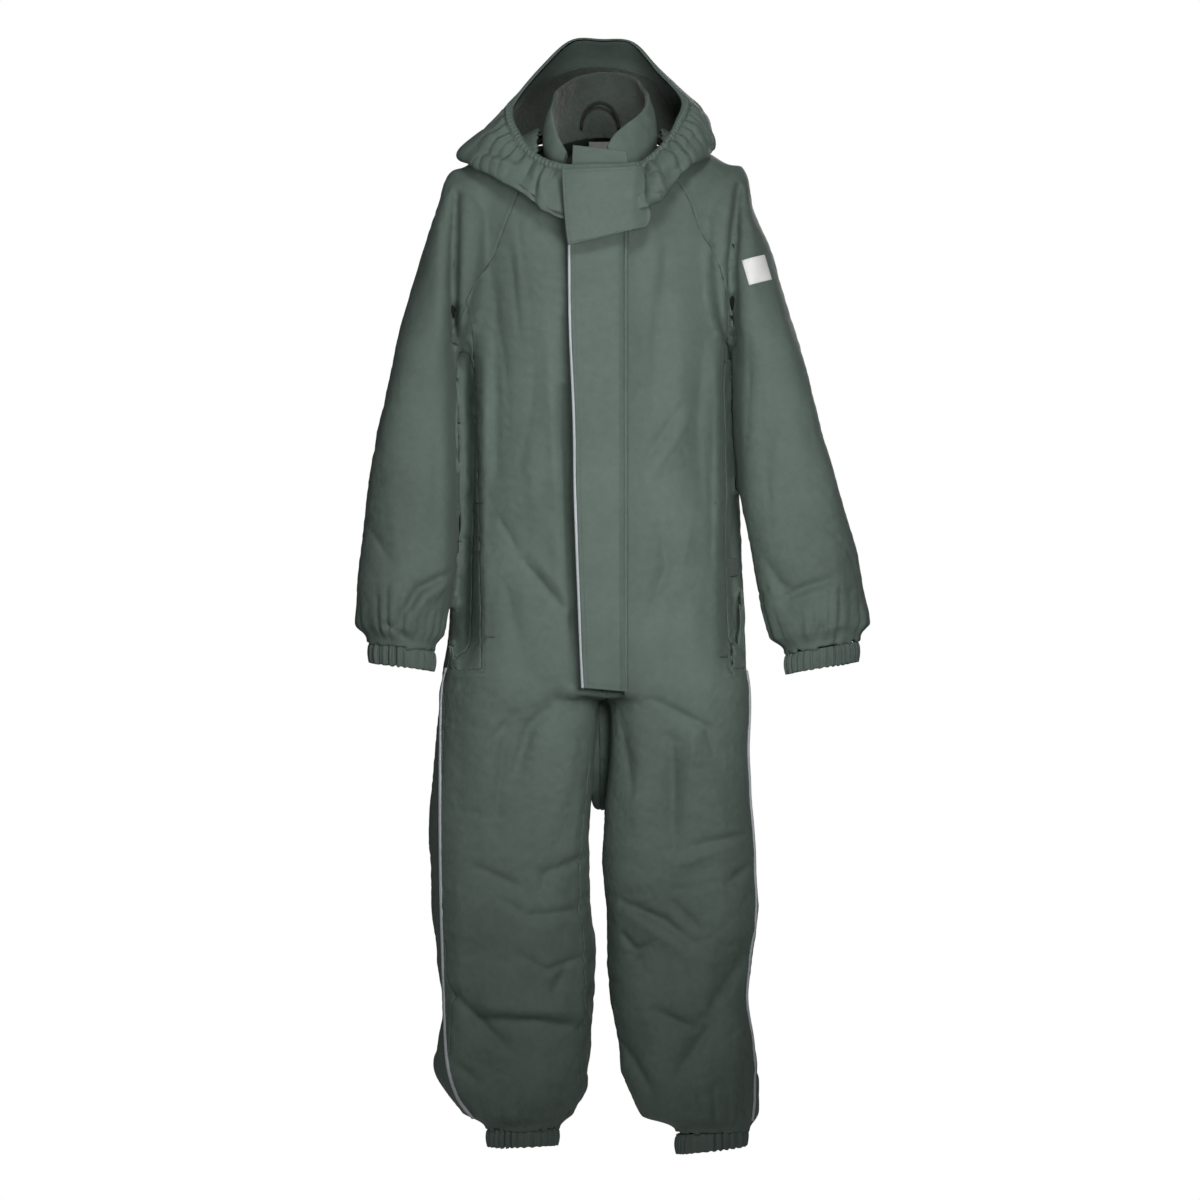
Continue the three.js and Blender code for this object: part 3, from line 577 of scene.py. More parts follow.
for side, sign in SIDES:
    cut_along(panels, SIDE_SEAM[side], 0, lambda f: f.calc_center_median().x * sign > 0)
    cut_between(side)
for side in ("right", "left"):
    cut_along(panels, curve_through(RAGLAN[side]), 1, lambda f: True)
    cut_along(panels, curve_through(POCKET_SEAM[side], 40), 1, is_front)
    edge = POCKET_SEAM[side][-1]
    sign = -1 if side == "right" else 1
    cut_along(panels, [edge, (edge[0] + sign * 60, edge[1] - 3)], 1, is_front)
cut_along(panels, [(0, 20), (0, -790)], 1, lambda f: f.calc_center_median().y > 0)


# %% Naming each face's piece
PANELS = ["front_right", "front_left", "side_right", "side_left", "back_right", "back_left",
          "sleeve_right", "sleeve_left"]


def panel_of(x, y, z):
    side, sign = ("right", -1) if x < 0 else ("left", 1)
    base, lean, drop = BETWEEN[side]
    split = base + lean * max(y + 35, 0) + drop * max(-z - 330, 0)
    if z > -252:
        on_sleeve = (x - at_height(RAGLAN[side], z)) * sign > 0
    else:
        on_sleeve = (x - split) * sign > 0 and z > SLEEVE_END and (z > -530 or abs(x) > HIP_X)
    if on_sleeve:
        return 6 if side == "right" else 7
    if y > seam_y(z, x):
        return 4 if x < 0 else 5
    if -592 < z < -206 and (x - at_height(POCKET_SEAM[side], z)) * sign > 0:
        return 2 if side == "right" else 3
    # The two fronts meet under the zip, a little to the wearer's left.
    return 0 if x < 5 else 1


def settled(bm, labels, least=90, rounds=3):
    """The labels with every small island of faces given to the piece around it."""
    bm.faces.index_update()
    for _ in range(rounds):
        seen = np.zeros(len(labels), bool)
        for first in bm.faces:
            if seen[first.index]:
                continue
            own, stack, island, around = labels[first.index], [first], [], []
            seen[first.index] = True
            while stack:
                f = stack.pop()
                island.append(f.index)
                for g in (g for e in f.edges for g in e.link_faces if g != f):
                    if labels[g.index] != own:
                        around.append(labels[g.index])
                    elif not seen[g.index]:
                        seen[g.index] = True
                        stack.append(g)
            if len(island) < least and around:
                labels[island] = np.bincount(around).argmax()
    return labels


labels = np.array([panel_of(*(np.array(f.calc_center_median()) / MM)) for f in panels.faces])
labels = settled(panels, labels)
print("faces per piece:", dict(zip(PANELS, np.bincount(labels, minlength=8).tolist())))
whole = bpy.data.meshes.new("whole")
panels.to_mesh(whole)
panels.free()


def faces_as_object(mesh, keep, name):
    """A new object with only the kept faces of a mesh, its loose crumbs dropped."""
    bm = bmesh.new()
    bm.from_mesh(mesh)
    gone = [f for f, k in zip(list(bm.faces), keep) if not k]
    bmesh.ops.delete(bm, geom=gone, context="FACES")
    # islands smaller than a fortieth of the piece belong to a neighbour's edge
    seen, islands = set(), []
    for f in bm.faces:
        if f in seen:
            continue
        stack, island = [f], []
        seen.add(f)
        while stack:
            g = stack.pop()
            island.append(g)
            for e in g.edges:
                for h in e.link_faces:
                    if h not in seen:
                        seen.add(h)
                        stack.append(h)
        islands.append(island)
    most = max(len(i) for i in islands)
    crumbs = [f for i in islands if len(i) < most / 40 for f in i]
    print(name, "islands", sorted((len(i) for i in islands), reverse=True)[:4])
    bmesh.ops.delete(bm, geom=crumbs, context="FACES")
    out = make_mesh(name, [], [])
    bm.to_mesh(out.data)
    bm.free()
    out.data.shade_smooth()
    return out


pieces = {n: faces_as_object(whole, labels == k, n) for k, n in enumerate(PANELS)}
bpy.data.objects.remove(body)


# %% [markdown]
# ## Finishing the panels
# Each panel is refined, gathered into its elastic, and its cut edges are turned in, which
# leaves the narrow groove that a real seam shows.

# %% Gathers and turned edges
ELASTIC = {
    # piece: centre x, y and height of the gather, reach above it, tilt, waves, depth
    "sleeve_right": [(-209.5, -33, -568, 64, -0.12, 19, 7.5)],
    "sleeve_left": [(233.5, -33, -568, 64, 0.16, 20, 7.5)],
    "legs_right": [(-84, 0, -1080, 60, 0.0, 19, 7.0)],
    "legs_left": [(118, 0, -1082, 60, 0.0, 20, 7.0)],
}


DRAWN_IN = 17.0  # millimetres above a band over which the cloth narrows to it
BANDS = {
    # centre of the top, half widths, height, tilt, ridges, seed
    "cuff_right": ((-209.5, -33, -569), 34, 27, 21, -0.13, 26, 0.7),
    "cuff_left": ((234, -33, -570), 38, 27, 21, 0.17, 28, 2.4),
    "ankle_right": ((-82, 0, -1078), 37, 30, 19, 0.03, 28, 4.2),
    "ankle_left": ((119, 0, -1081), 37, 30, 20, 0.12, 28, 5.6),
}
# The dark gaps where each sleeve hangs against the body: line, half width, depth.
SLEEVE_GAPS = [
    ([(-154, -100), (-154, -180), (-154, -250)], 5.0, 6.0),
    ([(-153, -215), (-152, -330), (-150, -440), (-151, -535)], 5.5, 26.0),
    ([(146, -92), (137, -170), (138, -240)], 5.0, 6.0),
    ([(138, -205), (139, -330), (145, -420), (147, -455)], 5.5, 26.0),
]
SHARP = [(line, width * 0.5, lift * 0.55) for line, width, lift in FOLDS if lift < -1.5]
SHARP += [
    ([(-152, -92), (-153, -150), (-152, -275)], 4.0, -5.0),
    ([(147, -84), (138, -170), (139, -270)], 4.0, -5.0),
    ([(-36, -300), (-31, -450), (-26, -606)], 3.5, -2.5),
]


def gather_waves(angle, height, waves, seed):
    """Irregular pleats: sharp valleys between round ridges, some dying out sooner."""
    bend = 0.35 * np.sin(3 * angle + seed) + 0.25 * np.sin(5 * angle + 2 * seed)
    first = np.abs(np.sin(0.5 * waves * (angle + 0.22 * bend) + seed)) ** 0.55
    second = np.abs(np.sin(0.5 * (waves + 9) * angle + 3 * seed)) ** 0.7
    strength = 0.7 + 0.4 * np.sin(4 * angle + 5 * seed)
    long_ones = np.clip(height, 0, 1) ** (1.1 + 0.7 * np.sin(3 * angle + 2 * seed))
    return (first * long_ones + 0.5 * second * height**2.5) * strength - 0.6 * height**1.2


def gather(co, spec, seed, band):
    """Pleats above an elastic band, with the cloth drawn in to the band's own size."""
    cx, cy, cz, reach, tilt, waves, depth = spec
    dx, dy = co[:, 0] - cx, co[:, 1] - cy
    up = (co[:, 2] - cz - tilt * dx) / reach
    near = np.clip(1 - up, 0, 1) * ((np.abs(dx) < 110) & (np.abs(dy) < 90))
    angle = np.arctan2(dy, dx)
    radius = np.hypot(dx, dy)
    push = depth * gather_waves(angle, near, waves, seed)
    (mx, my, _), half_x, half_y = band[:3]
    drawn = smoothstep(DRAWN_IN / reach, 0.0, up) * (near > 0)
    co[:, 0] += push * (1 - 0.6 * drawn) * dx / np.maximum(radius, 1)
    co[:, 1] += push * (1 - 0.6 * drawn) * dy / np.maximum(radius, 1)
    dx, dy = co[:, 0] - mx, co[:, 1] - my
    least = 1 / np.maximum(np.hypot(dx / (half_x + 2.5), dy / (half_y + 2.5)), 1e-6)
    shrink = 1 - drawn * (1 - np.minimum(least, 1))
    co[:, 0], co[:, 1] = mx + dx * shrink, my + dy * shrink
    return co


def turn_edges(obj, sink=0.9, allowance=2.6):
    """Presses a panel's cut edge in and folds a narrow allowance behind it."""
    bm = bmesh.new()
    bm.from_mesh(obj.data)
    bm.normal_update()
    normals = {v: v.normal.copy() for v in bm.verts}
    rim = [e for e in bm.edges if e.is_boundary]
    rim_verts = {v for e in rim for v in e.verts}
    for v in rim_verts:
        v.co -= normals[v] * sink * MM
    made = bmesh.ops.extrude_edge_only(bm, edges=rim)
    new = [g for g in made["geom"] if isinstance(g, bmesh.types.BMVert)]
    nearest = {tuple(round(c, 7) for c in v.co): normals[v] for v in rim_verts}
    for v in new:
        key = tuple(round(c, 7) for c in v.co)
        v.co -= nearest.get(key, Vector((0, 0, 0))) * allowance * MM
    bm.to_mesh(obj.data)
    bm.free()
    obj.data.shade_smooth()


def refine(obj, levels=1):
    mod = obj.modifiers.new("refine", "SUBSURF")
    mod.levels = mod.render_levels = levels
    mod.boundary_smooth = "PRESERVE_CORNERS"
    return baked(obj)


for name, obj in pieces.items():
    refine(obj)
    co = points_of(obj) / MM
    if name.startswith("sleeve"):
        side = name[7:]
        co = gather(co, ELASTIC[name][0], 1.7 if side == "right" else 4.1, BANDS["cuff_" + side])
    elif not name.startswith("side"):
        for side, seed in (("right", 2.9), ("left", 5.3)):
            co = gather(co, ELASTIC["legs_" + side][0], seed, BANDS["ankle_" + side])
    fine = fractal(co, (16, 16, 22), 5.5, 2)
    small = creases(co, (46, 46, 34), 17.0, 0.09) * smoothstep(-300, -700, co[:, 2])
    facing = normals_of(obj)
    sharp = hand_folds(co, SHARP) * smoothstep(0.1, 0.6, -facing[:, 1])
    co += facing * (0.35 * fine + 0.5 * small + sharp)[:, None]
    co[:, 1] += hand_folds(co, SLEEVE_GAPS) * smoothstep(5, -25, co[:, 1])
    set_points(obj, co * MM)
    turn_edges(obj)
    print(name, len(obj.data.polygons), "faces")


# %% [markdown]
# ## Cuffs and ankle bands
# Elastic is stretched, sewn into a folded channel and let go, so the channel crinkles
# into close, uneven ridges. Each band is one ring whose outer face carries them.

# %% Elastic bands
def elastic_band(name, centre, half_x, half_y, height, tilt, ridges, seed):
    around, rows = 520, 30
    angle = np.arange(around) / around * 2 * np.pi
    profile = []
    for k in range(rows):
        s = k / rows * 4
        if s < 1.6:  # outer face, downwards
            profile.append((1 - s / 1.6, 1.0))
        elif s < 2.0:  # bottom
            profile.append((0.0, 1.0 - (s - 1.6) / 0.4))
        elif s < 3.6:  # inner face, upwards
            profile.append(((s - 2.0) / 1.6, 0.0))
        else:
            profile.append((1.0, (s - 3.6) / 0.4))
    profile = np.array(profile)
    wall = 4.2
    wander = 0.5 * np.sin(2 * angle + seed) + 0.4 * np.sin(5 * angle + 2.3 * seed)
    phase = 0.5 * ridges * angle + 1.4 * wander + seed
    ridge = np.abs(np.sin(phase)) ** 0.45
    minor = np.abs(np.sin(1.83 * phase + 1.1 * seed)) ** 0.6
    size = 0.8 + 0.35 * np.sin(3 * angle + 1.9 * seed) + 0.2 * np.sin(7 * angle + seed)
    bump = (3.9 * ridge + 1.5 * minor - 3.4) * size
    points = []
    for up, out in profile:
        bulge = 1.1 * math.sin(math.pi * up) * out
        stitch = -0.8 * out * math.exp(-(((up - 0.93) / 0.045) ** 2))
        offset = (out - 1) * wall + (0.35 + 0.65 * out) * bump * (0.7 + 0.3 * math.sin(math.pi * up))
        radius = offset + bulge + stitch
        x = (half_x + radius) * np.cos(angle)
        y = (half_y + radius) * np.sin(angle)
        edge = (1 - up) * 0.9 * np.sin(2.2 * phase) * size
        z = -height * (1 - up) + tilt * x - edge
        points.append(np.stack([centre[0] + x, centre[1] + y, centre[2] + z], axis=1))
    points = np.array(points)
    faces = grid_faces(rows, around, wrap_cols=True, wrap_rows=True)
    return make_mesh(name, points.reshape(-1, 3) * MM, faces)


bands = {name: elastic_band(name, *spec) for name, spec in BANDS.items()}


# %% [markdown]
# ## Hood
# The hood hangs open round the collar. From its rim the cloth rolls out over the
# shoulders, folds under and runs back in to the neck seam. The rim is a plain facing at
# the top and an elastic channel down both sides, and the channel puckers the cloth.

# %% Hood surface
HOOD_RIM = [
    (-6, -94, -66), (22, -90, -65), (46, -80, -59), (67, -60, -39), (80, -36, -16),
    (88, -2, 12), (64, 34, 44), (36, 54, 76), (2, 60, 80), (-32, 55, 78), (-64, 32, 47),
    (-90, 0, 12), (-94, -26, -6), (-87, -46, -26), (-69, -64, -51), (-40, -86, -65),
]
HOOD_SHOULDER = [
    (-5, -99, -95), (28, -97, -88), (56, -98, -80), (84, -78, -52), (101, -46, -26),
    (113, -4, -12), (98, 48, 12), (50, 86, 40), (0, 96, 50), (-44, 88, 42), (-84, 58, 18),
    (-112, 6, -12), (-124, -28, -28), (-116, -54, -50), (-86, -74, -74), (-46, -94, -94),
]
HOOD_FOLD = [
    (-4, -97, -121), (30, -98, -117), (57, -99, -104), (92, -78, -72), (112, -44, -55),
    (121, 0, -44), (108, 52, -34), (58, 88, -28), (0, 97, -24), (-52, 90, -28), (-100, 60, -34),
    (-136, 10, -46), (-146, -20, -55), (-118, -56, -74), (-85, -80, -92), (-46, -96, -122),
]
NECK_SEAM = [
    (-1, -80, -112), (26, -78, -106), (46, -68, -92), (62, -46, -74), (68, -16, -56),
    (68, 8, -42), (56, 32, -30), (30, 50, -20), (0, 58, -16), (-32, 50, -20), (-60, 32, -30),
    (-70, 8, -42), (-70, -16, -56), (-64, -46, -74), (-50, -64, -90), (-28, -78, -108),
]
HOOD_AROUND, HOOD_DOWN = 560, 96
CHANNEL_STITCH = 8.2  # millimetres from the rim to the stitching of the elastic's channel
loops = [spline(loop, HOOD_AROUND, closed=True)
         for loop in (HOOD_RIM, HOOD_SHOULDER, HOOD_FOLD, NECK_SEAM)]
hood = spline(np.array(loops).reshape(4, -1), HOOD_DOWN).reshape(HOOD_DOWN, HOOD_AROUND, 3)
station = np.arange(HOOD_AROUND) / HOOD_AROUND * 16  # the loops have sixteen points


def grid_normals(grid):
    around = np.roll(grid, -1, axis=1) - np.roll(grid, 1, axis=1)
    down = np.gradient(grid, axis=0)
    n = np.cross(down, around)
    return n / np.maximum(np.linalg.norm(n, axis=2, keepdims=True), 1e-9)


def along_rows(grid):
    steps = np.linalg.norm(np.diff(grid, axis=0), axis=2)
    return np.concatenate([np.zeros((1, grid.shape[1])), np.cumsum(steps, axis=0)])


hood_normal = grid_normals(hood)
if hood_normal[10, :, 2].mean() < 0:  # they should point out of the bowl
    hood_normal = -hood_normal
depth = along_rows(hood)  # millimetres from the rim
# the elastic runs down both sides, from just above the ears to the chin
left_side = smoothstep(5.4, 4.6, station) * smoothstep(1.2, 2.0, station)
right_side = smoothstep(10.6, 11.4, station) * smoothstep(15.4, 14.6, station)
elastic = left_side + right_side
arc = np.concatenate([[0], np.cumsum(np.linalg.norm(np.diff(hood[0], axis=0), axis=1))])
wobble = 1.6 * np.sin(arc / 21) + 1.1 * np.sin(arc / 9.3 + 1)
pucker = np.abs(np.sin(np.pi * arc / 13.5 + 0.5 * wobble)) ** 0.7 - 0.6
pucker2 = np.abs(np.sin(np.pi * arc / 8.1 + wobble)) ** 0.8 - 0.6
reach = 24 + 12 * np.sin(arc / 11.0) + 7 * np.sin(arc / 5.0 + 2)
fade = np.exp(-np.maximum(depth - 9, 0) / reach) * (depth > 8)
fade_in = smoothstep(7.5, 10, depth)
push = elastic * fade_in * fade * (6.2 * pucker + 2.6 * pucker2 * np.exp(-depth / 18))
# the channel itself: a low round tube with fine crinkles, and a stitched groove below it
channel = np.exp(-(((depth - 3.8) / 3.2) ** 2))
push += elastic * channel * (2.2 + 1.1 * np.sin(2 * np.pi * arc / 5.2 + wobble))
push -= (0.5 + 1.1 * elastic) * np.exp(-((depth - CHANNEL_STITCH) ** 2))
flat = hood.reshape(-1, 3)
soft = fractal(flat, (46, 46, 34), 12.3, 2).reshape(depth.shape)
push += 4.2 * soft * smoothstep(12, 50, depth) * smoothstep(0, 40, depth[-1] - depth)
HOOD_FOLDS = [
    ([(44, -62), (43, -84), (47, -106)], 4.5, -6.0), ([(59, -74), (62, -98)], 11, 7.0),
    ([(88, -62), (64, -84)], 6, -2.6), ([(104, -30), (84, -52)], 7, -3.0),
    ([(96, -20), (114, -34)], 7, 2.4), ([(74, -48), (80, -70)], 6, 2.2),
    ([(-47, -75), (-42, -112)], 5, -3.2), ([(-62, -72), (-58, -108)], 7, 2.6),
    ([(-128, -46), (-100, -52)], 5, -3.4), ([(-120, -32), (-98, -40)], 5, 2.6),
    ([(-122, -56), (-84, -66)], 6, 2.2), ([(-92, -52), (-70, -84)], 7, -2.2),
    ([(-108, -8), (-118, -22)], 5, -2.4),
]
outer_front = smoothstep(0.1, 0.6, -hood_normal[:, :, 1])
push += 1.5 * hand_folds(flat, HOOD_FOLDS).reshape(depth.shape) * outer_front
push += 2.6 * creases(flat, (60, 60, 50), 91.0, 0.09).reshape(depth.shape) * smoothstep(14, 40, depth)
hood_outer = hood + hood_normal * push[:, :, None]
hood_inner = hood - hood_normal * (4.5 + 1.2 * np.minimum(depth / 20, 1))[:, :, None]
print("hood: rim", round(arc[-1]), "mm round, cloth", round(float(depth[-1].mean())), "mm deep")


def strip(name, grid, wrap=True):
    rows, cols, _ = grid.shape
    return make_mesh(name, grid.reshape(-1, 3) * MM, grid_faces(rows, cols, wrap_cols=wrap))


def blend_rows(a, b, count):
    t = np.linspace(0, 1, count + 2)[1:-1, None, None]
    return a[None] * (1 - t) + b[None] * t


FACING_WIDTH = 40.0
round_rim = blend_rows(hood_inner[0], hood_outer[0], 3)
round_rim += (np.sin(np.linspace(0, np.pi, 5)[1:-1]) * 1.6)[:, None, None] * -(
    (hood[1] - hood[0]) / np.linalg.norm(hood[1] - hood[0], axis=1, keepdims=True)
)
facing_row = int(np.argmax(depth[:, HOOD_AROUND // 2] > FACING_WIDTH))
hood_pieces = {
    "hood_outer": np.concatenate([round_rim, hood_outer]),
    "hood_facing": hood_inner[: facing_row + 1][::-1],
    "hood_lining": hood_inner[facing_row:][::-1],
}
hood_objs = {n: strip(n, g) for n, g in hood_pieces.items()}


# %% [markdown]
# ## Collar
# A stand-up collar of outer cloth lined with fleece. Its right end stands and its left
# end leans outwards, and the closing tab is fastened across the two.

# %% Collar
COLLAR_BASE = [
    (-34, -64, -72), (-50, -50, -68), (-58, -28, -60), (-58, -4, -50), (-44, 24, -36),
    (-12, 42, -28), (14, 42, -28), (42, 26, -34), (56, 2, -44), (58, -20, -54),
    (52, -42, -64), (42, -56, -70), (30, -64, -74), (18, -67, -76),
]
COLLAR_RIM = [
    (-36, -68, -54), (-47, -52, -32), (-52, -30, -4), (-47, -2, 17), (-31, 26, 32),
    (-9, 38, 39), (14, 38, 40), (33, 28, 36), (47, 6, 24), (53, -16, 6),
    (45, -36, -9), (30, -54, -22), (16, -64, -34), (8, -70, -46),
]
AROUND, UP = 260, 36
base, rim = spline(COLLAR_BASE, AROUND), spline(COLLAR_RIM, AROUND)
rise = np.linspace(0, 1, UP)[:, None, None]
collar = base[None] * (1 - rise) + rim[None] * rise
middle = np.array([0, -10, 0.0])
outwards = (collar - middle) * (1, 1, 0)
outwards /= np.linalg.norm(outwards, axis=2, keepdims=True)
belly = np.sin(np.pi * rise[:, :, 0])
flare = np.linspace(1, 0.15, 8)[:, None, None]
skirt = collar[:1] + outwards[:1] * 30 * flare + np.array([0, 0, -19.0]) * flare
ripple = np.sin(np.arange(AROUND) / AROUND * 2 * np.pi * 9 + 1.0)[None]
back_share = np.exp(-(((np.arange(AROUND) / AROUND - 0.45) / 0.16) ** 2))[None]
collar += outwards * (5.0 * belly + 1.6 * ripple * back_share * rise[:, :, 0])[:, :, None]
soft = fractal(collar.reshape(-1, 3), (26, 26, 26), 31.0, 2).reshape(UP, AROUND)
collar += outwards * (2.2 * soft * rise[:, :, 0])[:, :, None]
THICK = 5.0
inside = collar - outwards * THICK
lip = blend_rows(collar[-1], inside[-1], 5)
lip[:, :, 2] += (np.sin(np.linspace(0, np.pi, 7)[1:-1]) * 2.2)[:, None]
collar_objs = {
    "collar": strip("collar", np.concatenate([skirt, collar, lip[:3]]), wrap=False),
    "collar_lining": strip("collar_lining", np.concatenate([lip[2:], inside[::-1]]), wrap=False),
}


# %% [markdown]
# ## Flaps
# A flap is a thin padded slab with rounded edges. Its outline is two side lines, and the
# columns between them crowd towards the edges, so that the roundness has enough faces.

# %% Flap helper
def edge_distances(extent, count, tight=(0.0, 0.35, 0.9, 1.8, 3.0)):
    """Positions across a width: crowded near both edges, even between."""
    inner = np.linspace(tight[-1], extent - tight[-1], count)
    return np.concatenate([tight[:-1], inner, extent - np.array(tight[:-1])[::-1]])


def flap(name, left, right, mid_y, thick, rows=90, columns=20, soft=0.5, seed=0.0, stitch=None):
    """left and right are lines of (x, z), top first; mid_y gives the middle's depth."""
    height = math.dist(left[0], left[-1])
    down = edge_distances(height, rows) / height
    fine = np.linspace(0, 1, 400)
    sides = []
    for line in (left, right):
        curve = spline(line, 400)
        sides.append(np.stack([np.interp(down, fine, curve[:, k]) for k in (0, 1)], axis=1))
    width = np.linalg.norm(sides[1] - sides[0], axis=1)
    across = np.array([edge_distances(w, columns) / w for w in width])
    grid = sides[0][:, None] * (1 - across[..., None]) + sides[1][:, None] * across[..., None]
    x, z = grid[..., 0], grid[..., 1]
    from_side = np.minimum(across, 1 - across) * width[:, None]
    from_end = (np.minimum(down, 1 - down) * height)[:, None]
    gap = np.minimum(from_side, from_end)
    radius = thick * 0.62
    half = thick / 2 * np.sqrt(np.clip(1 - (1 - np.clip(gap / radius, 0, 1)) ** 2, 0, 1))
    if stitch:
        half -= 0.55 * np.exp(-(((gap - stitch) / 0.8) ** 2))
    y = mid_y(x, z)
    wave = fractal(np.stack([x, y, z], axis=2).reshape(-1, 3), (30, 30, 60), seed + 40.5, 2)
    y = y + soft * 2 * wave.reshape(x.shape)
    front_side = np.stack([x, y - half, z], axis=2)
    back_side = np.stack([x, y + half, z], axis=2)
    r, c = x.shape
    points = np.concatenate([front_side.reshape(-1, 3), back_side.reshape(-1, 3)])
    faces = [f[::-1] for f in grid_faces(r, c)]
    faces += [tuple(i + r * c for i in f) for f in grid_faces(r, c)]
    obj = make_mesh(name, points * MM, faces)
    weld(obj)
    return obj


def flat_at(depth):
    """The middle of a flap that lies at one depth all over."""
    return lambda x, z: depth + 0 * x


def weld(obj, dist=0.02):
    bm = bmesh.new()
    bm.from_mesh(obj.data)
    bmesh.ops.remove_doubles(bm, verts=bm.verts, dist=dist * MM)
    bmesh.ops.recalc_face_normals(bm, faces=bm.faces)
    bm.to_mesh(obj.data)
    bm.free()
    obj.data.shade_smooth()


def round_tube(name, path, radius, flat=1.0, sides=12, out=None, closed=False):
    """A tube along a path; flat below 1 squashes it along the direction out."""
    path = np.array(path, float)
    tangent = np.gradient(path, axis=0)
    if closed:
        tangent = (np.roll(path, -1, axis=0) - np.roll(path, 1, axis=0)) / 2
    tangent /= np.linalg.norm(tangent, axis=1, keepdims=True)
    out = np.tile((0.0, -1.0, 0.0), (len(path), 1)) if out is None else np.array(out, float)
    side = np.cross(tangent, out)
    side /= np.linalg.norm(side, axis=1, keepdims=True)
    up = np.cross(side, tangent)
    a = np.arange(sides) / sides * 2 * np.pi
    ring = side[:, None] * np.cos(a)[None, :, None] * radius
    ring = ring + up[:, None] * np.sin(a)[None, :, None] * radius * flat
    points = (path[:, None] + ring).reshape(-1, 3)
    faces = grid_faces(len(path), sides, wrap_cols=True, wrap_rows=closed)
    if not closed:
        last = (len(path) - 1) * sides
        faces.append(tuple(range(sides))[::-1])
        faces.append(tuple(range(last, last + sides)))
    obj = make_mesh(name, points * MM, faces)
    weld(obj)
    return obj


# %% [markdown]
# ## Placket, chin flap and tab
# The storm flap hides the zip. It is sewn down its wearer-left side, its free edge has a
# light piping, and three press studs hold it. The chin flap closes the hood across the
# throat and tucks under the hood's left lobe.

# %% Placket
FLAP_EDGE = [(-31.5, -134), (-30.5, -230), (-26.5, -331), (-25, -420), (-20.5, -540), (-17.5, -612)]
FLAP_SEAM = [(25.5, -134), (26.5, -300), (26.5, -450), (28, -616)]
FLAP_Y, FLAP_THICK = -86.5, 3.4


def flap_depth(x, z):
    sag = 1.2 * np.sin((z + 150) / 47) * smoothstep(10, -30, x)
    return FLAP_Y + sag + 5.5 * smoothstep(19, 28, x)


storm_flap = flap("storm_flap", FLAP_EDGE, FLAP_SEAM, flap_depth, FLAP_THICK, 190, 26, 0.5, 1.0)
edge = spline(FLAP_EDGE, 160)
edge_y = flap_depth(edge[:, 0], edge[:, 1]) + 0.2
piping_path = np.stack([edge[:, 0] - 0.6, edge_y, edge[:, 1]], axis=1)
storm_flap_piping = round_tube("storm_flap_piping", piping_path, 1.75, 0.85)
storm_flap_top = flap(
    "storm_flap_top", [(-31, -127), (-30.7, -141)], [(24, -127), (24.3, -141)],
    lambda x, z: flap_depth(x, z) + FLAP_THICK + 0.6, FLAP_THICK * 0.8, 16, 26, 0.3, 1.0,
)
base_path = [(27, -78.5, z) for z in np.linspace(-130, -618, 120)]
storm_flap_base = round_tube("storm_flap_base", base_path, 2.6, 1.7, 20)

# %% Chin flap and tab
def chin_depth(x, z):
    return -104.6 + 11 * smoothstep(32, 52, x) + 2.0 * smoothstep(-20, -42, x)


chin_flap = flap(
    "chin_flap", [(-40, -72), (-38.5, -104), (-35.5, -138), (-33.5, -151)],
    [(45, -68), (50, -96), (53, -121), (49, -131)], chin_depth, 3.4, 60, 40, 0.9, 5.0, 3.6,
)
chin_patch = flap(
    "chin_patch", [(-28, -80), (-28, -134)], [(-12, -80), (-12, -134)],
    flat_at(-101.6), 1.4, 20, 8, 0.1, 2.0,
)
collar_tab = flap(
    "collar_tab", [(-28.5, -44), (-29.5, -65.5)], [(28.5, -51), (29.5, -64)],
    lambda x, z: -75.0 + 0.0016 * x * x, 2.6, 18, 34, 0.6, 8.0, 2.6,
)


# %% [markdown]
# ## Linings, seen at the openings
# A thin dark lining fills the body, the sleeves and the legs. Each is a tube that stays
# well inside its outer cloth, so that no fold lets it through.

# %% Linings
LINING_GAP, TORSO_LINING_GAP, SLEEVE_LINING_GAP = 13.0, 25.0, 20.0


def lining_tube(name, sections, gap=LINING_GAP, neck_hole=False):
    obj = tube(name, sections, sides=64, grow=-gap, step=9.0, capped=False)
    rings = points_of(obj).reshape(-1, 64, 3)
    if neck_hole:
        trim = bmesh.new()
        trim.from_mesh(obj.data)
        x, y, z = (np.array([f.calc_center_median() for f in trim.faces]) / MM).T
        drop = (z > -66 + 0.6 * y) & (np.abs(x) < 62) & (y < 52)
        gone = [f for f, out in zip(list(trim.faces), drop) if out]
        bmesh.ops.delete(trim, geom=gone, context="FACES")
        trim.to_mesh(obj.data)
        trim.free()
    solid = obj.modifiers.new("wall", "SOLIDIFY")
    solid.thickness = 0.8 * MM
    solid.offset = -1
    baked(obj)
    obj.data.shade_smooth()
    return obj


torso_lining = lining_tube("torso_lining", TORSO[1:], TORSO_LINING_GAP, neck_hole=True)
linings = {
    "sleeve_lining_right": lining_tube("sleeve_lining_right", SLEEVE_R[2:-1], SLEEVE_LINING_GAP),
    "sleeve_lining_left": lining_tube("sleeve_lining_left", SLEEVE_L[2:-1], SLEEVE_LINING_GAP),
    "leg_lining_right": lining_tube("leg_lining_right", LEG_R[1:-1]),
    "leg_lining_left": lining_tube("leg_lining_left", LEG_L[1:-1]),
}

# %% [markdown]
# ## Finding the cloth's surface
# Small pieces lie on the cloth. Each is placed by looking for the finished surface from
# outside it, so that nothing floats or sinks.

# %% Surface finder
def tree_of(objects):
    verts, polys, base = [], [], 0
    for o in objects:
        verts += [v.co.copy() for v in o.data.vertices]
        polys += [tuple(i + base for i in p.vertices) for p in o.data.polygons]
        base = len(verts)
    return BVHTree.FromPolygons(verts, polys)


fronts = tree_of(pieces.values())


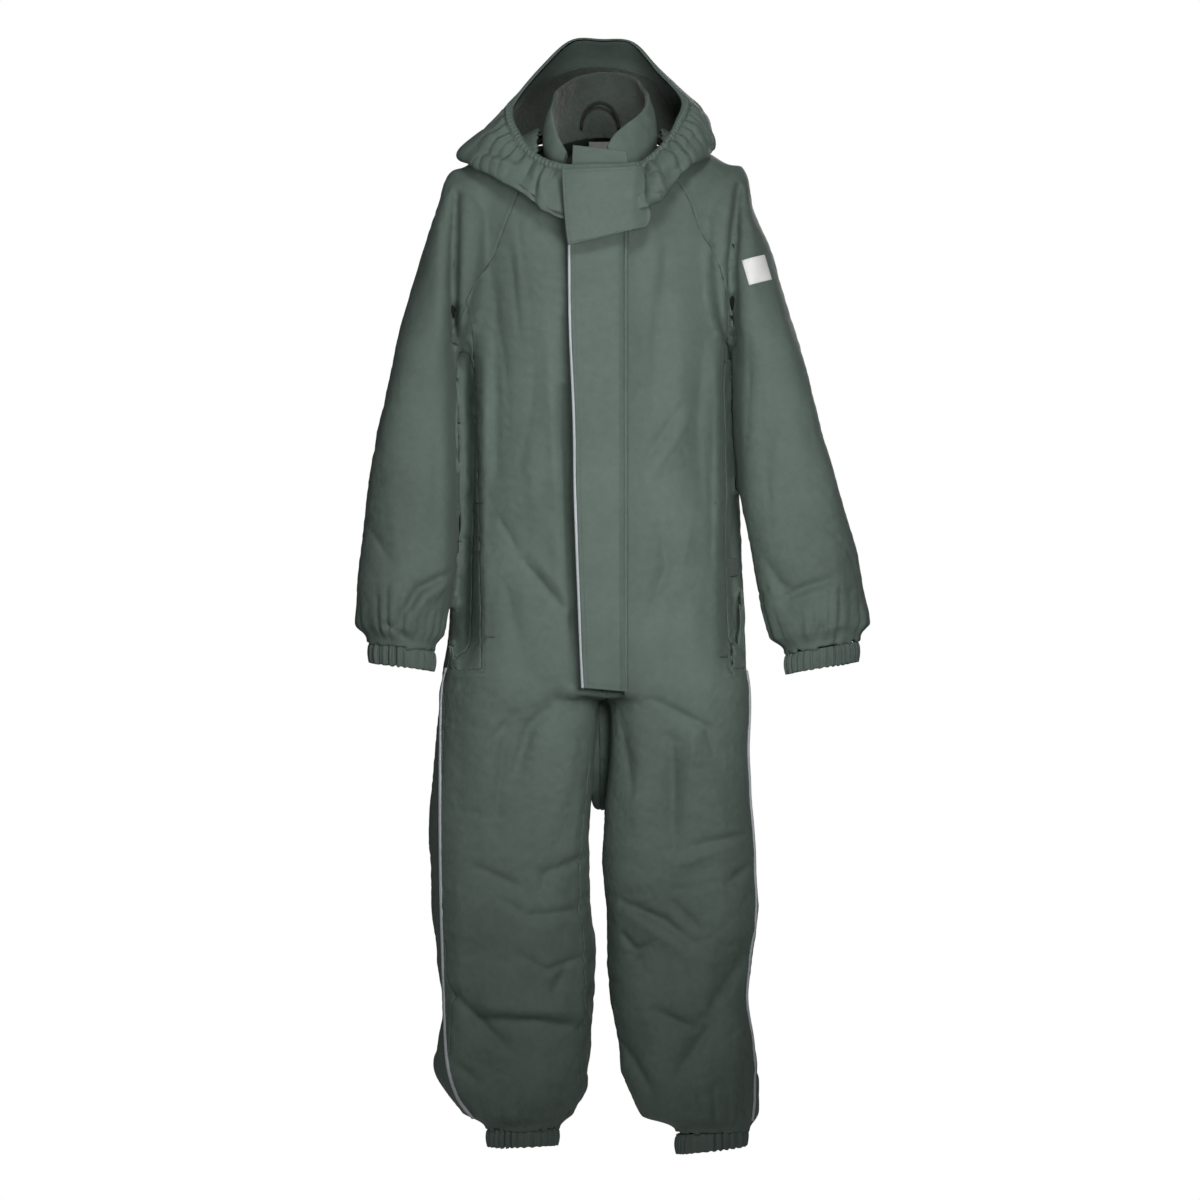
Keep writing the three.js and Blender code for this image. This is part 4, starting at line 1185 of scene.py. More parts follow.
def on_cloth(start, way, tree=fronts):
    """Where a line from start first meets the cloth, and the normal there, in mm."""
    hit, n, _, _ = tree.ray_cast(Vector(start) * MM, Vector(way))
    if hit is None:
        return None, None
    n = np.array(n)
    return np.array(hit) / MM, n if n @ np.array(way) < 0 else -n


def project(points, way=(0, 1, 0), far=400.0, tree=fronts, smooth=0):
    found, out = [], []
    for p in points:
        start = np.array(p, float) - np.array(way, float) * far
        hit, n = on_cloth(start, way, tree)
        if hit is not None:
            found.append(hit)
            out.append(n)
    if not found:
        return np.empty((0, 3)), np.empty((0, 3))
    found, out = np.array(found), np.array(out)
    for _ in range(smooth):
        found[1:-1] = (found[:-2] + 2 * found[1:-1] + found[2:]) / 4
        out[1:-1] = (out[:-2] + 2 * out[1:-1] + out[2:]) / 4
    return found, out / np.linalg.norm(out, axis=1, keepdims=True)


# %% Leg pipings
RIGHT_PIPING = [(-162, -592), (-167, -625), (-168, -735), (-167, -835), (-164, -940), (-161, -1003),
                (-150, -1043), (-134, -1066)]
leg_pipings = {}
for side, sign in SIDES:
    heights = np.linspace(-592, -1070, 190)
    starts = [(sign * 100, at_height(SIDE_SEAM[side], h) - 5, h) for h in heights]
    leg_tree = tree_of([pieces["front_" + side], pieces["back_" + side]])
    if side == "right":
        line = spline(RIGHT_PIPING, 190)
        path, out = project([(px, 0, pz) for px, pz in line], (0, 1, 0), 400, leg_tree, 12)
    else:
        path, out = project(starts, (-sign, 0, 0), 200, leg_tree, 30)
    leg_pipings[side] = round_tube("leg_piping_" + side, path + out * 0.7, 2.0, 0.7, 12, out)

# %% Badge
BADGE_CENTRE, BADGE_SIZE, BADGE_TURN = (164.5, -174.0), (25.5, 27.5), 0.28


def patch_on(name, centre, size, turn, lift, tree, n=26):
    """A square label laid on the cloth and slightly rounded at its edge."""
    u, v = np.meshgrid(np.linspace(-0.5, 0.5, n), np.linspace(0.5, -0.5, n))
    dx, dz = u * size[0], v * size[1]
    x = centre[0] + dx * math.cos(turn) - dz * math.sin(turn)
    z = centre[1] + dx * math.sin(turn) + dz * math.cos(turn)
    points, out = project(np.stack([x, 0 * x, z], axis=2).reshape(-1, 3), tree=tree)
    grid = points.reshape(n, n, 3)
    for _ in range(10):
        grid[1:-1, 1:-1] = (
            grid[1:-1, 1:-1] + grid[:-2, 1:-1] + grid[2:, 1:-1] + grid[1:-1, :-2] + grid[1:-1, 2:]
        ) / 5
    edge = np.minimum(0.5 - np.abs(u), 0.5 - np.abs(v)) * size[0]
    raised = lift * (0.35 + 0.65 * smoothstep(0, 1.2, edge)) - 0.22 * np.exp(-(((edge - 1.9) / 0.5) ** 2))
    mean = out.mean(axis=0)
    top = grid + mean * raised[..., None]
    under = grid - mean * 0.5
    pts = np.concatenate([top.reshape(-1, 3), under.reshape(-1, 3)])
    faces = [f[::-1] for f in grid_faces(n, n)] + [tuple(i + n * n for i in f) for f in grid_faces(n, n)]
    rim_loop = (
        [i for i in range(n)] + [r * n + n - 1 for r in range(1, n)]
        + [n * n - 1 - i for i in range(1, n)] + [(n - 1 - r) * n for r in range(1, n - 1)]
    )
    for a, b in zip(rim_loop, rim_loop[1:] + rim_loop[:1]):
        faces.append((a, b, b + n * n, a + n * n))
    obj = make_mesh(name, pts * MM, faces)
    weld(obj)
    return obj


sleeve_tree = tree_of([pieces["sleeve_left"]])
badge = patch_on("sleeve_badge", BADGE_CENTRE, BADGE_SIZE, BADGE_TURN, 1.0, sleeve_tree)

# %% Small loops and labels
body_tree = tree_of([pieces["side_left"], pieces["back_left"]])
tab_hit, _ = project([(100, 4, -485)], (-1, 0, 0), 200, body_tree)
tx = tab_hit[0][0]
waist_tab = flap(
    "waist_tab", [(tx - 4, -474), (tx - 4, -496)], [(tx + 9, -476), (tx + 9, -494)],
    flat_at(2.0), 3.2, 12, 10, 0.2, 3.0, 2.0,
)
loop_low, loop_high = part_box("hanger_loop")
lx = (loop_low[0] + loop_high[0]) / 2 / MM
ly, lz = (loop_low[1] + loop_high[1]) / 2 / MM, loop_low[2] / MM
span, rise_mm = (loop_high[0] - loop_low[0]) / 2 / MM - 2, (loop_high[2] - loop_low[2]) / MM - 1
arc_angle = np.linspace(0, np.pi, 40)
loop_path = np.stack([lx - span * np.cos(arc_angle), ly + 0 * arc_angle,
                      lz + rise_mm * np.sin(arc_angle)], axis=1)
hanger_loop = round_tube("hanger_loop", loop_path, 1.6, 1.0, 12)
label_low, label_high = np.array(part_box("size_label")) / MM
size_label = flap(
    "size_label", [(label_low[0], label_high[2]), (label_low[0], label_low[2])],
    [(label_high[0], label_high[2]), (label_high[0], label_low[2])],
    lambda x, z: label_high[1] - 0.4 + 0.02 * (z - label_high[2]) + 0 * x, 0.7, 20, 20, 0.2,
)


def pocket_bag(name, node):
    """A flat bag of lining cloth, a soft closed form inside its box."""
    low, high = np.array(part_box(node)) / MM
    cx, cy, cz = (low + high) / 2
    hx, hy, hz = (high - low) / 2
    u = np.linspace(0, np.pi, 30)[:, None]
    a = (np.arange(48) / 48 * 2 * np.pi)[None]
    power = lambda v, p: np.sign(v) * np.abs(v) ** p
    radius = power(np.sin(u), 0.35)
    x = cx + hx * radius * power(np.cos(a), 0.6)
    y = cy + hy * radius * power(np.sin(a), 0.9)
    z = cz + hz * power(np.cos(u), 0.5) + 0 * a
    grid = np.stack([x, y, z], axis=2)
    obj = make_mesh(name, grid.reshape(-1, 3) * MM, grid_faces(30, 48, wrap_cols=True))
    weld(obj, 0.05)
    return obj


bags = {s: pocket_bag("pocket_bag_" + s, "pocket_bag_" + s) for s in ("right", "left")}


# %% [markdown]
# ## Zip tapes
# Each tape is a narrow woven strip beside the teeth.

# %% Zip tapes
tapes = {}
for side in ("right", "left"):
    low, high = np.array(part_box("zip_tape_" + side)) / MM
    tapes[side] = flap(
        "zip_tape_" + side, [(low[0], high[2]), (low[0], low[2])],
        [(high[0], high[2]), (high[0], low[2])], flat_at((low[1] + high[1]) / 2), 0.9, 150, 10, 0.05,
    )


# %% [markdown]
# ## Finishes
# Every finish is procedural and reads the piece's own coordinates. Three effects are
# shared by several materials, so each is a node group: a weave, a slow change of colour
# across the cloth, and the lumps of a fleece pile.

# %% Node helpers
def new_group(name, inputs, outputs):
    group = bpy.data.node_groups.new(name, "ShaderNodeTree")
    for label, default in inputs:
        socket = group.interface.new_socket(label, in_out="INPUT", socket_type="NodeSocketFloat")
        socket.default_value = default
    for label in outputs:
        group.interface.new_socket(label, in_out="OUTPUT", socket_type="NodeSocketFloat")
    return group, group.nodes.new("NodeGroupInput"), group.nodes.new("NodeGroupOutput")


def math_node(tree, operation, a, b=None):
    node = tree.nodes.new("ShaderNodeMath")
    node.operation = operation
    for socket, value in zip(node.inputs, (a, b)):
        if value is None:
            continue
        if isinstance(value, (int, float)):
            socket.default_value = value
        else:
            tree.links.new(value, socket)
    return node.outputs[0]


def noise_node(tree, scale, detail=3.0, rough=0.55):
    coords = tree.nodes.new("ShaderNodeTexCoord")
    node = tree.nodes.new("ShaderNodeTexNoise")
    tree.links.new(coords.outputs["Object"], node.inputs["Vector"])
    if isinstance(scale, (int, float)):
        node.inputs["Scale"].default_value = scale
    else:
        tree.links.new(scale, node.inputs["Scale"])
    node.inputs["Detail"].default_value = detail
    node.inputs["Roughness"].default_value = rough
    return node.outputs["Fac"]


def weave_group():
    """Over-and-under threads. Threads is how many cross one metre."""
    group, given, made = new_group("weave", [("Threads", 1100.0), ("Unevenness", 0.35)], ["Height", "Shade"])
    coords = group.nodes.new("ShaderNodeTexCoord")
    split = group.nodes.new("ShaderNodeSeparateXYZ")
    group.links.new(coords.outputs["Object"], split.inputs[0])
    sideways = math_node(group, "MULTIPLY", split.outputs["Y"], 0.8)
    across = math_node(group, "ADD", split.outputs["X"], sideways)
    turns = math_node(group, "MULTIPLY", given.outputs["Threads"], math.pi)
    ridges = []
    for place_on_cloth in (across, split.outputs["Z"]):
        wave = math_node(group, "SINE", math_node(group, "MULTIPLY", place_on_cloth, turns))
        ridges.append(math_node(group, "ABSOLUTE", wave))
    threads = math_node(group, "MAXIMUM", *ridges)
    uneven = math_node(group, "MULTIPLY", noise_node(group, 420.0, 2.0), given.outputs["Unevenness"])
    height = math_node(group, "ADD", threads, uneven)
    group.links.new(height, made.inputs["Height"])
    group.links.new(math_node(group, "MULTIPLY", height, 0.5), made.inputs["Shade"])
    return group


def mottle_group():
    """Slow and quick changes of tone, both centred on one half."""
    group, given, made = new_group("mottle", [("Slow", 9.0), ("Quick", 75.0)], ["Tone", "Specks"])
    slow = noise_node(group, given.outputs["Slow"], 2.0)
    quick = noise_node(group, given.outputs["Quick"], 4.0, 0.6)
    shares = math_node(group, "MULTIPLY", slow, 0.6), math_node(group, "MULTIPLY", quick, 0.4)
    tone = math_node(group, "ADD", *shares)
    group.links.new(tone, made.inputs["Tone"])
    specks = math_node(group, "GREATER_THAN", noise_node(group, 900.0, 2.0), 0.66)
    group.links.new(specks, made.inputs["Specks"])
    return group


def pile_group():
    """Short matted pile: lumps with a finer fuzz on them."""
    group, given, made = new_group("pile", [("Lumps", 210.0), ("Fuzz", 1500.0)], ["Height"])
    coords = group.nodes.new("ShaderNodeTexCoord")
    cells = group.nodes.new("ShaderNodeTexVoronoi")
    group.links.new(coords.outputs["Object"], cells.inputs["Vector"])
    group.links.new(given.outputs["Lumps"], cells.inputs["Scale"])
    lumps = math_node(group, "SUBTRACT", 1.0, cells.outputs["Distance"])
    fuzz = math_node(group, "MULTIPLY", noise_node(group, given.outputs["Fuzz"], 3.0), 0.8)
    group.links.new(math_node(group, "ADD", lumps, fuzz), made.inputs["Height"])
    return group


WEAVE, MOTTLE, PILE = weave_group(), mottle_group(), pile_group()


def place(tree, group, **values):
    node = tree.nodes.new("ShaderNodeGroup")
    node.node_tree = group
    for label, value in values.items():
        node.inputs[label].default_value = value
    return node


def finish(name, dark, light, rough, rough_spread=0.08, bump=None, relief=(0.3, 0.2), mottle=(9.0, 75.0),
           sheen=0.0, metal=0.0, extra=None, specular=0.5):
    """A material whose colour drifts between two tones, with relief from a shared group."""
    mat = bpy.data.materials.new(name)
    mat.use_nodes = True
    tree = mat.node_tree
    shader = tree.nodes["Principled BSDF"]
    shader.inputs["Sheen Weight"].default_value = sheen
    shader.inputs["Metallic"].default_value = metal
    shader.inputs["Specular IOR Level"].default_value = specular
    drift = place(tree, MOTTLE, Slow=mottle[0], Quick=mottle[1])
    spread = tree.nodes.new("ShaderNodeMapRange")
    spread.inputs["From Min"].default_value, spread.inputs["From Max"].default_value = 0.32, 0.68
    tree.links.new(drift.outputs["Tone"], spread.inputs["Value"])
    ramp = tree.nodes.new("ShaderNodeMix")
    ramp.data_type = "RGBA"
    ramp.inputs["A"].default_value = (*dark, 1)
    ramp.inputs["B"].default_value = (*light, 1)
    tree.links.new(spread.outputs["Result"], ramp.inputs["Factor"])
    tree.links.new(ramp.outputs["Result"], shader.inputs["Base Color"])
    wander = math_node(tree, "MULTIPLY", drift.outputs["Tone"], rough_spread * 2)
    shine = math_node(tree, "ADD", wander, rough - rough_spread)
    tree.links.new(shine, shader.inputs["Roughness"])
    if bump:
        raised = place(tree, bump, **(extra or {}))
        bump_node = tree.nodes.new("ShaderNodeBump")
        bump_node.inputs["Strength"].default_value = relief[0]
        bump_node.inputs["Distance"].default_value = relief[1] * MM
        lumps = math_node(tree, "MULTIPLY", noise_node(tree, 160.0, 4.0), 1.2)
        fine = math_node(tree, "ADD", raised.outputs["Height"], lumps)
        tree.links.new(fine, bump_node.inputs["Height"])
        tree.links.new(bump_node.outputs["Normal"], shader.inputs["Normal"])
    return mat


# %% The finishes
# name, dark tone, light tone, roughness, its spread, relief group, relief strength and depth
SHELL = finish("shell_cloth", (0.096, 0.130, 0.112), (0.132, 0.177, 0.154), 0.68, 0.07,
               WEAVE, (0.6, 0.4), (11.0, 130.0), sheen=0.03, specular=0.35)
BAND = finish("band_cloth", (0.090, 0.121, 0.106), (0.118, 0.155, 0.138), 0.72, 0.06,
              WEAVE, (0.5, 0.35), sheen=0.03, specular=0.35)
FLEECE = finish("dark_fleece", (0.036, 0.047, 0.039), (0.068, 0.086, 0.072), 0.93, 0.04,
                PILE, (0.8, 1.0), (14.0, 120.0), sheen=0.25)
INNER = finish("inner_lining", (0.006, 0.0075, 0.0065), (0.011, 0.0135, 0.012), 0.8, 0.06,
               WEAVE, (0.4, 0.3))
PIPING = finish("light_piping", (0.40, 0.43, 0.45), (0.56, 0.59, 0.62), 0.42, 0.08,
                WEAVE, (0.5, 0.2), (20.0, 300.0), extra={"Threads": 2200.0})
BADGE = finish("plain_badge", (0.84, 0.84, 0.83), (0.93, 0.93, 0.92), 0.6, 0.05,
               WEAVE, (0.35, 0.15), (30.0, 200.0), extra={"Threads": 2600.0})
LABEL = finish("woven_label", (0.20, 0.20, 0.19), (0.26, 0.26, 0.25), 0.7, 0.05,
               WEAVE, (0.5, 0.2), (30.0, 200.0), extra={"Threads": 2000.0})
THREAD = finish("thread", (0.055, 0.075, 0.066), (0.085, 0.11, 0.098), 0.55, 0.08,
                WEAVE, (0.4, 0.1), (60.0, 400.0), extra={"Threads": 5200.0})
LIGHT_THREAD = finish("light_thread", (0.55, 0.56, 0.56), (0.75, 0.76, 0.76), 0.5, 0.08,
                      WEAVE, (0.4, 0.1), (60.0, 400.0), extra={"Threads": 5200.0})
TAPE = finish("zip_tape_cloth", (0.030, 0.038, 0.034), (0.048, 0.060, 0.054), 0.8, 0.06,
              WEAVE, (0.7, 0.4), extra={"Threads": 1500.0})
METAL = finish("dark_zinc", (0.23, 0.24, 0.24), (0.34, 0.35, 0.35), 0.36, 0.12,
               PILE, (0.15, 0.05), (40.0, 500.0), metal=1.0, extra={"Lumps": 900.0})
HOOKS = finish("hook_and_loop", (0.010, 0.012, 0.011), (0.028, 0.032, 0.030), 0.85, 0.06,
               PILE, (0.9, 0.8), (60.0, 600.0), extra={"Lumps": 900.0, "Fuzz": 3000.0})
STRAP = finish("woven_strap", (0.050, 0.066, 0.058), (0.078, 0.100, 0.090), 0.7, 0.06,
               WEAVE, (0.8, 0.5), extra={"Threads": 900.0})


def dress(obj, mat):
    obj.data.materials.clear()
    obj.data.materials.append(mat)
    return obj


# %% [markdown]
# ## Stitches and teeth
# Both repeat along a line, so one node tree makes each: the line is resampled at the
# pitch and a small form is placed on every point, turned along the line and out of the
# cloth.

# %% Geometry nodes tree
def along_line_tree(name, form):
    tree = bpy.data.node_groups.new(name, "GeometryNodeTree")
    face = tree.interface
    face.new_socket("Geometry", in_out="INPUT", socket_type="NodeSocketGeometry")
    for label, value in (("Pitch", 0.003), ("Length", 0.002), ("Width", 0.0006), ("Height", 0.0004)):
        face.new_socket(label, in_out="INPUT", socket_type="NodeSocketFloat").default_value = value
    face.new_socket("Finish", in_out="INPUT", socket_type="NodeSocketMaterial")
    face.new_socket("Geometry", in_out="OUTPUT", socket_type="NodeSocketGeometry")
    add, link = tree.nodes.new, tree.links.new
    given, made = add("NodeGroupInput"), add("NodeGroupOutput")
    curve, points = add("GeometryNodeMeshToCurve"), add("GeometryNodeResampleCurve")
    points.mode = "LENGTH"
    link(given.outputs["Geometry"], curve.inputs["Mesh"])
    link(curve.outputs["Curve"], points.inputs["Curve"])
    link(given.outputs["Pitch"], points.inputs["Length"])
    out = add("GeometryNodeInputNamedAttribute")
    out.data_type = "FLOAT_VECTOR"
    out.inputs["Name"].default_value = "out"
    tangent = add("GeometryNodeInputTangent")
    up = add("FunctionNodeAlignRotationToVector")
    up.axis = "Z"
    link(out.outputs["Attribute"], up.inputs["Vector"])
    turn = add("FunctionNodeAlignRotationToVector")
    turn.axis, turn.pivot_axis = "X", "Z"
    link(up.outputs["Rotation"], turn.inputs["Rotation"])
    link(tangent.outputs["Tangent"], turn.inputs["Vector"])
    if form == "thread":
        shape = add("GeometryNodeMeshUVSphere")
        shape.inputs["Segments"].default_value, shape.inputs["Rings"].default_value = 8, 5
        shape.inputs["Radius"].default_value = 0.5
    else:
        shape = add("GeometryNodeMeshCylinder")
        shape.inputs["Vertices"].default_value = 8
        shape.inputs["Radius"].default_value = 0.54
        shape.inputs["Depth"].default_value = 1.0
    size = add("ShaderNodeCombineXYZ")
    link(given.outputs["Length"], size.inputs["X"])
    link(given.outputs["Width"], size.inputs["Y"])
    link(given.outputs["Height"], size.inputs["Z"])
    each = add("GeometryNodeInstanceOnPoints")
    link(points.outputs["Curve"], each.inputs["Points"])
    link(shape.outputs["Mesh"], each.inputs["Instance"])
    link(turn.outputs["Rotation"], each.inputs["Rotation"])
    link(size.outputs["Vector"], each.inputs["Scale"])
    real, paint = add("GeometryNodeRealizeInstances"), add("GeometryNodeSetMaterial")
    link(each.outputs["Instances"], real.inputs["Geometry"])
    link(real.outputs["Geometry"], paint.inputs["Geometry"])
    link(given.outputs["Finish"], paint.inputs["Material"])
    link(paint.outputs["Geometry"], made.inputs["Geometry"])
    return tree


THREADS, TEETH = along_line_tree("thread_along_line", "thread"), along_line_tree("teeth_along_line", "tooth")


def run_along(name, lines, tree, mat, pitch=3.1, length=2.3, width=0.62, height=0.5):
    """lines is a list of (points, outward normals), in millimetres."""
    points, edges, out = [], [], []
    for path, normals in lines:
        base = len(points)
        points += [tuple(p) for p in np.array(path) * MM]
        out += [tuple(n) for n in normals]
        edges += [(base + i, base + i + 1) for i in range(len(path) - 1)]
    mesh = bpy.data.meshes.new(name)
    mesh.from_pydata(points, edges, [])
    outward = mesh.attributes.new("out", "FLOAT_VECTOR", "POINT")
    outward.data.foreach_set("vector", np.array(out, float).ravel())
    obj = bpy.data.objects.new(name, mesh)
    scene.collection.objects.link(obj)
    mod = obj.modifiers.new("run", "NODES")
    mod.node_group = tree
    sizes = {"Pitch": pitch, "Length": length, "Width": width, "Height": height}
    values = {label: size * MM for label, size in sizes.items()} | {"Finish": mat}
    for item in tree.interface.items_tree:
        if item.in_out == "INPUT" and item.name in values:
            mod[item.identifier] = values[item.name]
    baked(obj)
    dress(obj, mat)
    obj.data.shade_smooth()
    print(name, len(obj.data.polygons), "faces")
    return obj


def shifted(line, offset):
    """The line moved sideways in the front view."""
    line = curve_through(line, 12)
    run = np.gradient(line, axis=0)
    run /= np.linalg.norm(run, axis=1, keepdims=True)
    return line + np.stack([-run[:, 1], run[:, 0]], axis=1) * offset


def stitched_on(objs, lines, lift=0.12):
    tree = tree_of(objs)
    runs = []
    for line in lines:
        fine = curve_through(line, 2.5)
        path, out = project([(x, 0, z) for x, z in fine], (0, 1, 0), 400, tree, 3)
        if len(path) > 3:
            runs.append((path + out * lift, out))
    return runs


# %% Stitch lines
BARTACKS = {"right": [(-131, -123, -418), (-120, -111, -559)], "left": [(121, 130, -418), (126, 134, -580)]}
stitches = {}
for side, sign in SIDES:
    seam = POCKET_SEAM[side]
    foot = seam[-1]
    front_runs = stitched_on([pieces["front_" + side]], [
        [tuple(p) for p in shifted(seam, -4.5 * sign)],
        [(foot[0] - sign * 5, foot[1] - 4), (foot[0] + sign * 26, foot[1] - 5.5)],
        [(foot[0] - sign * 5, foot[1] - 9), (foot[0] + sign * 26, foot[1] - 10.5)],
    ])
    stitches["front_" + side] = run_along("stitches_front_" + side, front_runs, THREADS, THREAD)
    raglan = [tuple(p) for p in shifted(RAGLAN[side][1:], 4.0 * sign)]
    runs = stitched_on([pieces["sleeve_" + side]], [raglan])
    stitches["sleeve_" + side] = run_along("stitches_sleeve_" + side, runs, THREADS, THREAD)
    bars = [
        [(x0, height), ((x0 + x1) / 2, height), (x1, height)]
        for x0, x1, middle in BARTACKS[side]
        for height in (middle - 0.5, middle, middle + 0.5)
    ]
    runs = stitched_on([pieces["front_" + side], pieces["side_" + side]], bars, 0.3)
    stitches["bartack_" + side] = run_along(
        "bartacks_" + side, runs, THREADS, THREAD, pitch=1.0, length=1.6, width=0.8, height=0.7
    )

flap_runs = stitched_on([storm_flap], [
    [(x - 6.3, z) for x, z in FLAP_SEAM[:-1]] + [(FLAP_SEAM[-1][0] - 6.3, -612)],
    [(x + 5.2, z) for x, z in FLAP_EDGE[:-1]] + [(FLAP_EDGE[-1][0] + 5.2, -606)],
    [(-12, -607), (20, -611)],
])
stitches["flap"] = run_along("stitches_flap", flap_runs, THREADS, THREAD)
chin_runs = stitched_on([chin_flap], [
    [(-36.5, -75), (-35, -104), (-32, -138), (-30, -147)], [(-30, -147.5), (10, -139), (48, -127)],
    [(-36.5, -75.5), (10, -73), (43, -71.5)],
], 0.15)
stitches["chin"] = run_along("stitches_chin", chin_runs, THREADS, THREAD, 2.8, 2.1)
hood_runs, cols = [], np.arange(HOOD_AROUND)
for from_rim, layer, outwards_sign in (
    (CHANNEL_STITCH, hood_outer, 1), (FACING_WIDTH, hood_inner, -1),
):
    row = np.argmax(depth > from_rim, axis=0)
    out = outwards_sign * hood_normal[row, cols]
    hood_runs.append((layer[row, cols] + out * 0.15, out))
stitches["hood"] = run_along("stitches_hood", hood_runs, THREADS, THREAD)


def turned_rect(centre, size, turn):
    (cx, cz), (w, h) = centre, (size[0] / 2, size[1] / 2)
    corners = [(-w, -h), (w, -h), (w, h), (-w, h), (-w, -h)]
    ca, sa = math.cos(turn), math.sin(turn)
    return [(cx + x * ca - z * sa, cz + x * sa + z * ca) for x, z in corners]


frame_line = turned_rect(BADGE_CENTRE, (BADGE_SIZE[0] - 3.6, BADGE_SIZE[1] - 3.6), BADGE_TURN)
badge_lines = [[a, ((a[0] + b[0]) / 2, (a[1] + b[1]) / 2), b] for a, b in zip(frame_line, frame_line[1:])]
badge_runs = stitched_on([badge], badge_lines, 0.05)
stitches["badge"] = run_along(
    "stitches_badge", badge_runs, THREADS, LIGHT_THREAD, pitch=1.7, length=1.3, width=0.4, height=0.3
)

# %% Zip teeth
teeth = {}
for side, sign in SIDES:
    low, high = np.array(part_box("zip_teeth_" + side)) / MM
    heights = np.arange(low[2] + 1.5, high[2] - 1.0, 2.0) + (1.0 if sign > 0 else 0.0)
    path = [((low[0] + high[0]) / 2, (low[1] + high[1]) / 2, h) for h in heights]
    line = (path, [(0, -1, 0)] * len(path))
    teeth[side] = run_along("zip_teeth_" + side, [line], TEETH, METAL, 2.4, 1.4, high[0] - low[0] + 0.4, 2.6)


# %% [markdown]
# ## Putting the pieces on the frame
# Most pieces are attached to the part of the frame that carries them. Cloth that crosses a
# shoulder or a hip, and what lies on it, only has its placement baked into its points.


def hang_on_leg(obj, side):
    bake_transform(obj)


def hang_on_sleeve(obj, side):
    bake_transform(obj)


for side in ("right", "left"):
    for panel, nodes in (
        ("front_", ("front_panel_", "leg_front_")), ("back_", ("back_panel_", "leg_back_")),
    ):
        piece = dress(pieces[panel + side], SHELL)
        hang_on_leg(piece, side)
        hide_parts(*(n + side for n in nodes))
    piece = dress(pieces["side_" + side], SHELL)
    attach(piece, "trunk")
    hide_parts("side_panel_" + side)
    piece = dress(pieces["sleeve_" + side], SHELL)
    hang_on_sleeve(piece, side)
    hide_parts("sleeve_cap_" + side, "sleeve_" + side)
    for name, body_name, node in (
        ("cuff_", "sleeve_", "cuff_"), ("ankle_", "leg_", "ankle_band_"),
    ):
        band = dress(bands[name + side], BAND)
        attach(band, body_name + side)
        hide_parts(node + side)
    for name, hang in (("sleeve_lining_", hang_on_sleeve), ("leg_lining_", hang_on_leg)):
        piece = dress(linings[name + side], INNER)
        hang(piece, side)
        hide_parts(name + side)
    piece = dress(bags[side], INNER)
    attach(piece, "trunk")
    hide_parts("pocket_bag_" + side)
    piece = dress(leg_pipings[side], PIPING)
    hang_on_leg(piece, side)
    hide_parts("leg_piping_" + side)
    piece = dress(tapes[side], TAPE)
    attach(piece, "trunk")
    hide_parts("zip_tape_" + side)
    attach(teeth[side], "trunk")
    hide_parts("zip_teeth_" + side)
    hang_on_leg(stitches["front_" + side], side)
    hang_on_sleeve(stitches["sleeve_" + side], side)
    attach(stitches["bartack_" + side], "trunk")

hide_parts("seat_gusset")

RIDES = [
    # piece, finish, body, slot, nodes
    (torso_lining, INNER, "trunk", "lining", ["torso_lining"]),
    (hood_objs["hood_outer"], SHELL, "hood", "shell", ["hood_panel_right", "hood_panel_left"]),
    (hood_objs["hood_facing"], SHELL, "hood", "shell", ["hood_facing"]),
    (hood_objs["hood_lining"], FLEECE, "hood", "hood_fleece", ["hood_lining"]),
    (collar_objs["collar"], SHELL, "trunk", "shell", ["collar"]),
    (collar_objs["collar_lining"], FLEECE, "trunk", "hood_fleece", ["collar_lining"]),
    (collar_tab, SHELL, "trunk", "shell", ["collar_tab"]),
    (chin_flap, SHELL, "chin_flap", "shell", ["chin_flap"]),
    (chin_patch, HOOKS, "chin_flap", "hook_loop", ["chin_patch"]),
    (storm_flap, SHELL, "storm_flap", "shell", ["storm_flap"]),
    (storm_flap_piping, PIPING, "storm_flap", "piping", ["storm_flap_piping"]),
    (storm_flap_top, SHELL, "trunk", "shell", ["storm_flap_top"]),
    (storm_flap_base, SHELL, "trunk", "shell", ["storm_flap_base"]),
    (waist_tab, STRAP, "trunk", "strap", ["waist_tab"]),
    (hanger_loop, INNER, "trunk", "strap", ["hanger_loop"]),
    (size_label, LABEL, "trunk", "label", ["size_label"]),
]
for piece, mat, body_name, slot_name, nodes in RIDES:
    dress(piece, mat)
    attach(piece, body_name)
    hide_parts(*nodes)
dress(badge, BADGE)
hang_on_sleeve(badge, "left")
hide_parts("sleeve_badge")
hang_on_sleeve(stitches["badge"], "left")
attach(stitches["flap"], "storm_flap")
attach(stitches["chin"], "chin_flap")
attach(stitches["hood"], "hood")
for name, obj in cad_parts.items():
    if name.startswith(("snap_", "zip_slider", "zip_pull", "zip_stop")):
        for shown in obj.material_slots:
            shown.material = METAL


# %% [markdown]
# ## Camera, light and floor
# The main light stands in front, a little to the wearer's left, and is narrow enough that
# the ankles fall away. A small one from above lifts the hood, a wide one opens the other
# side, one lights the back, and the surround is dim and even. The background is white.

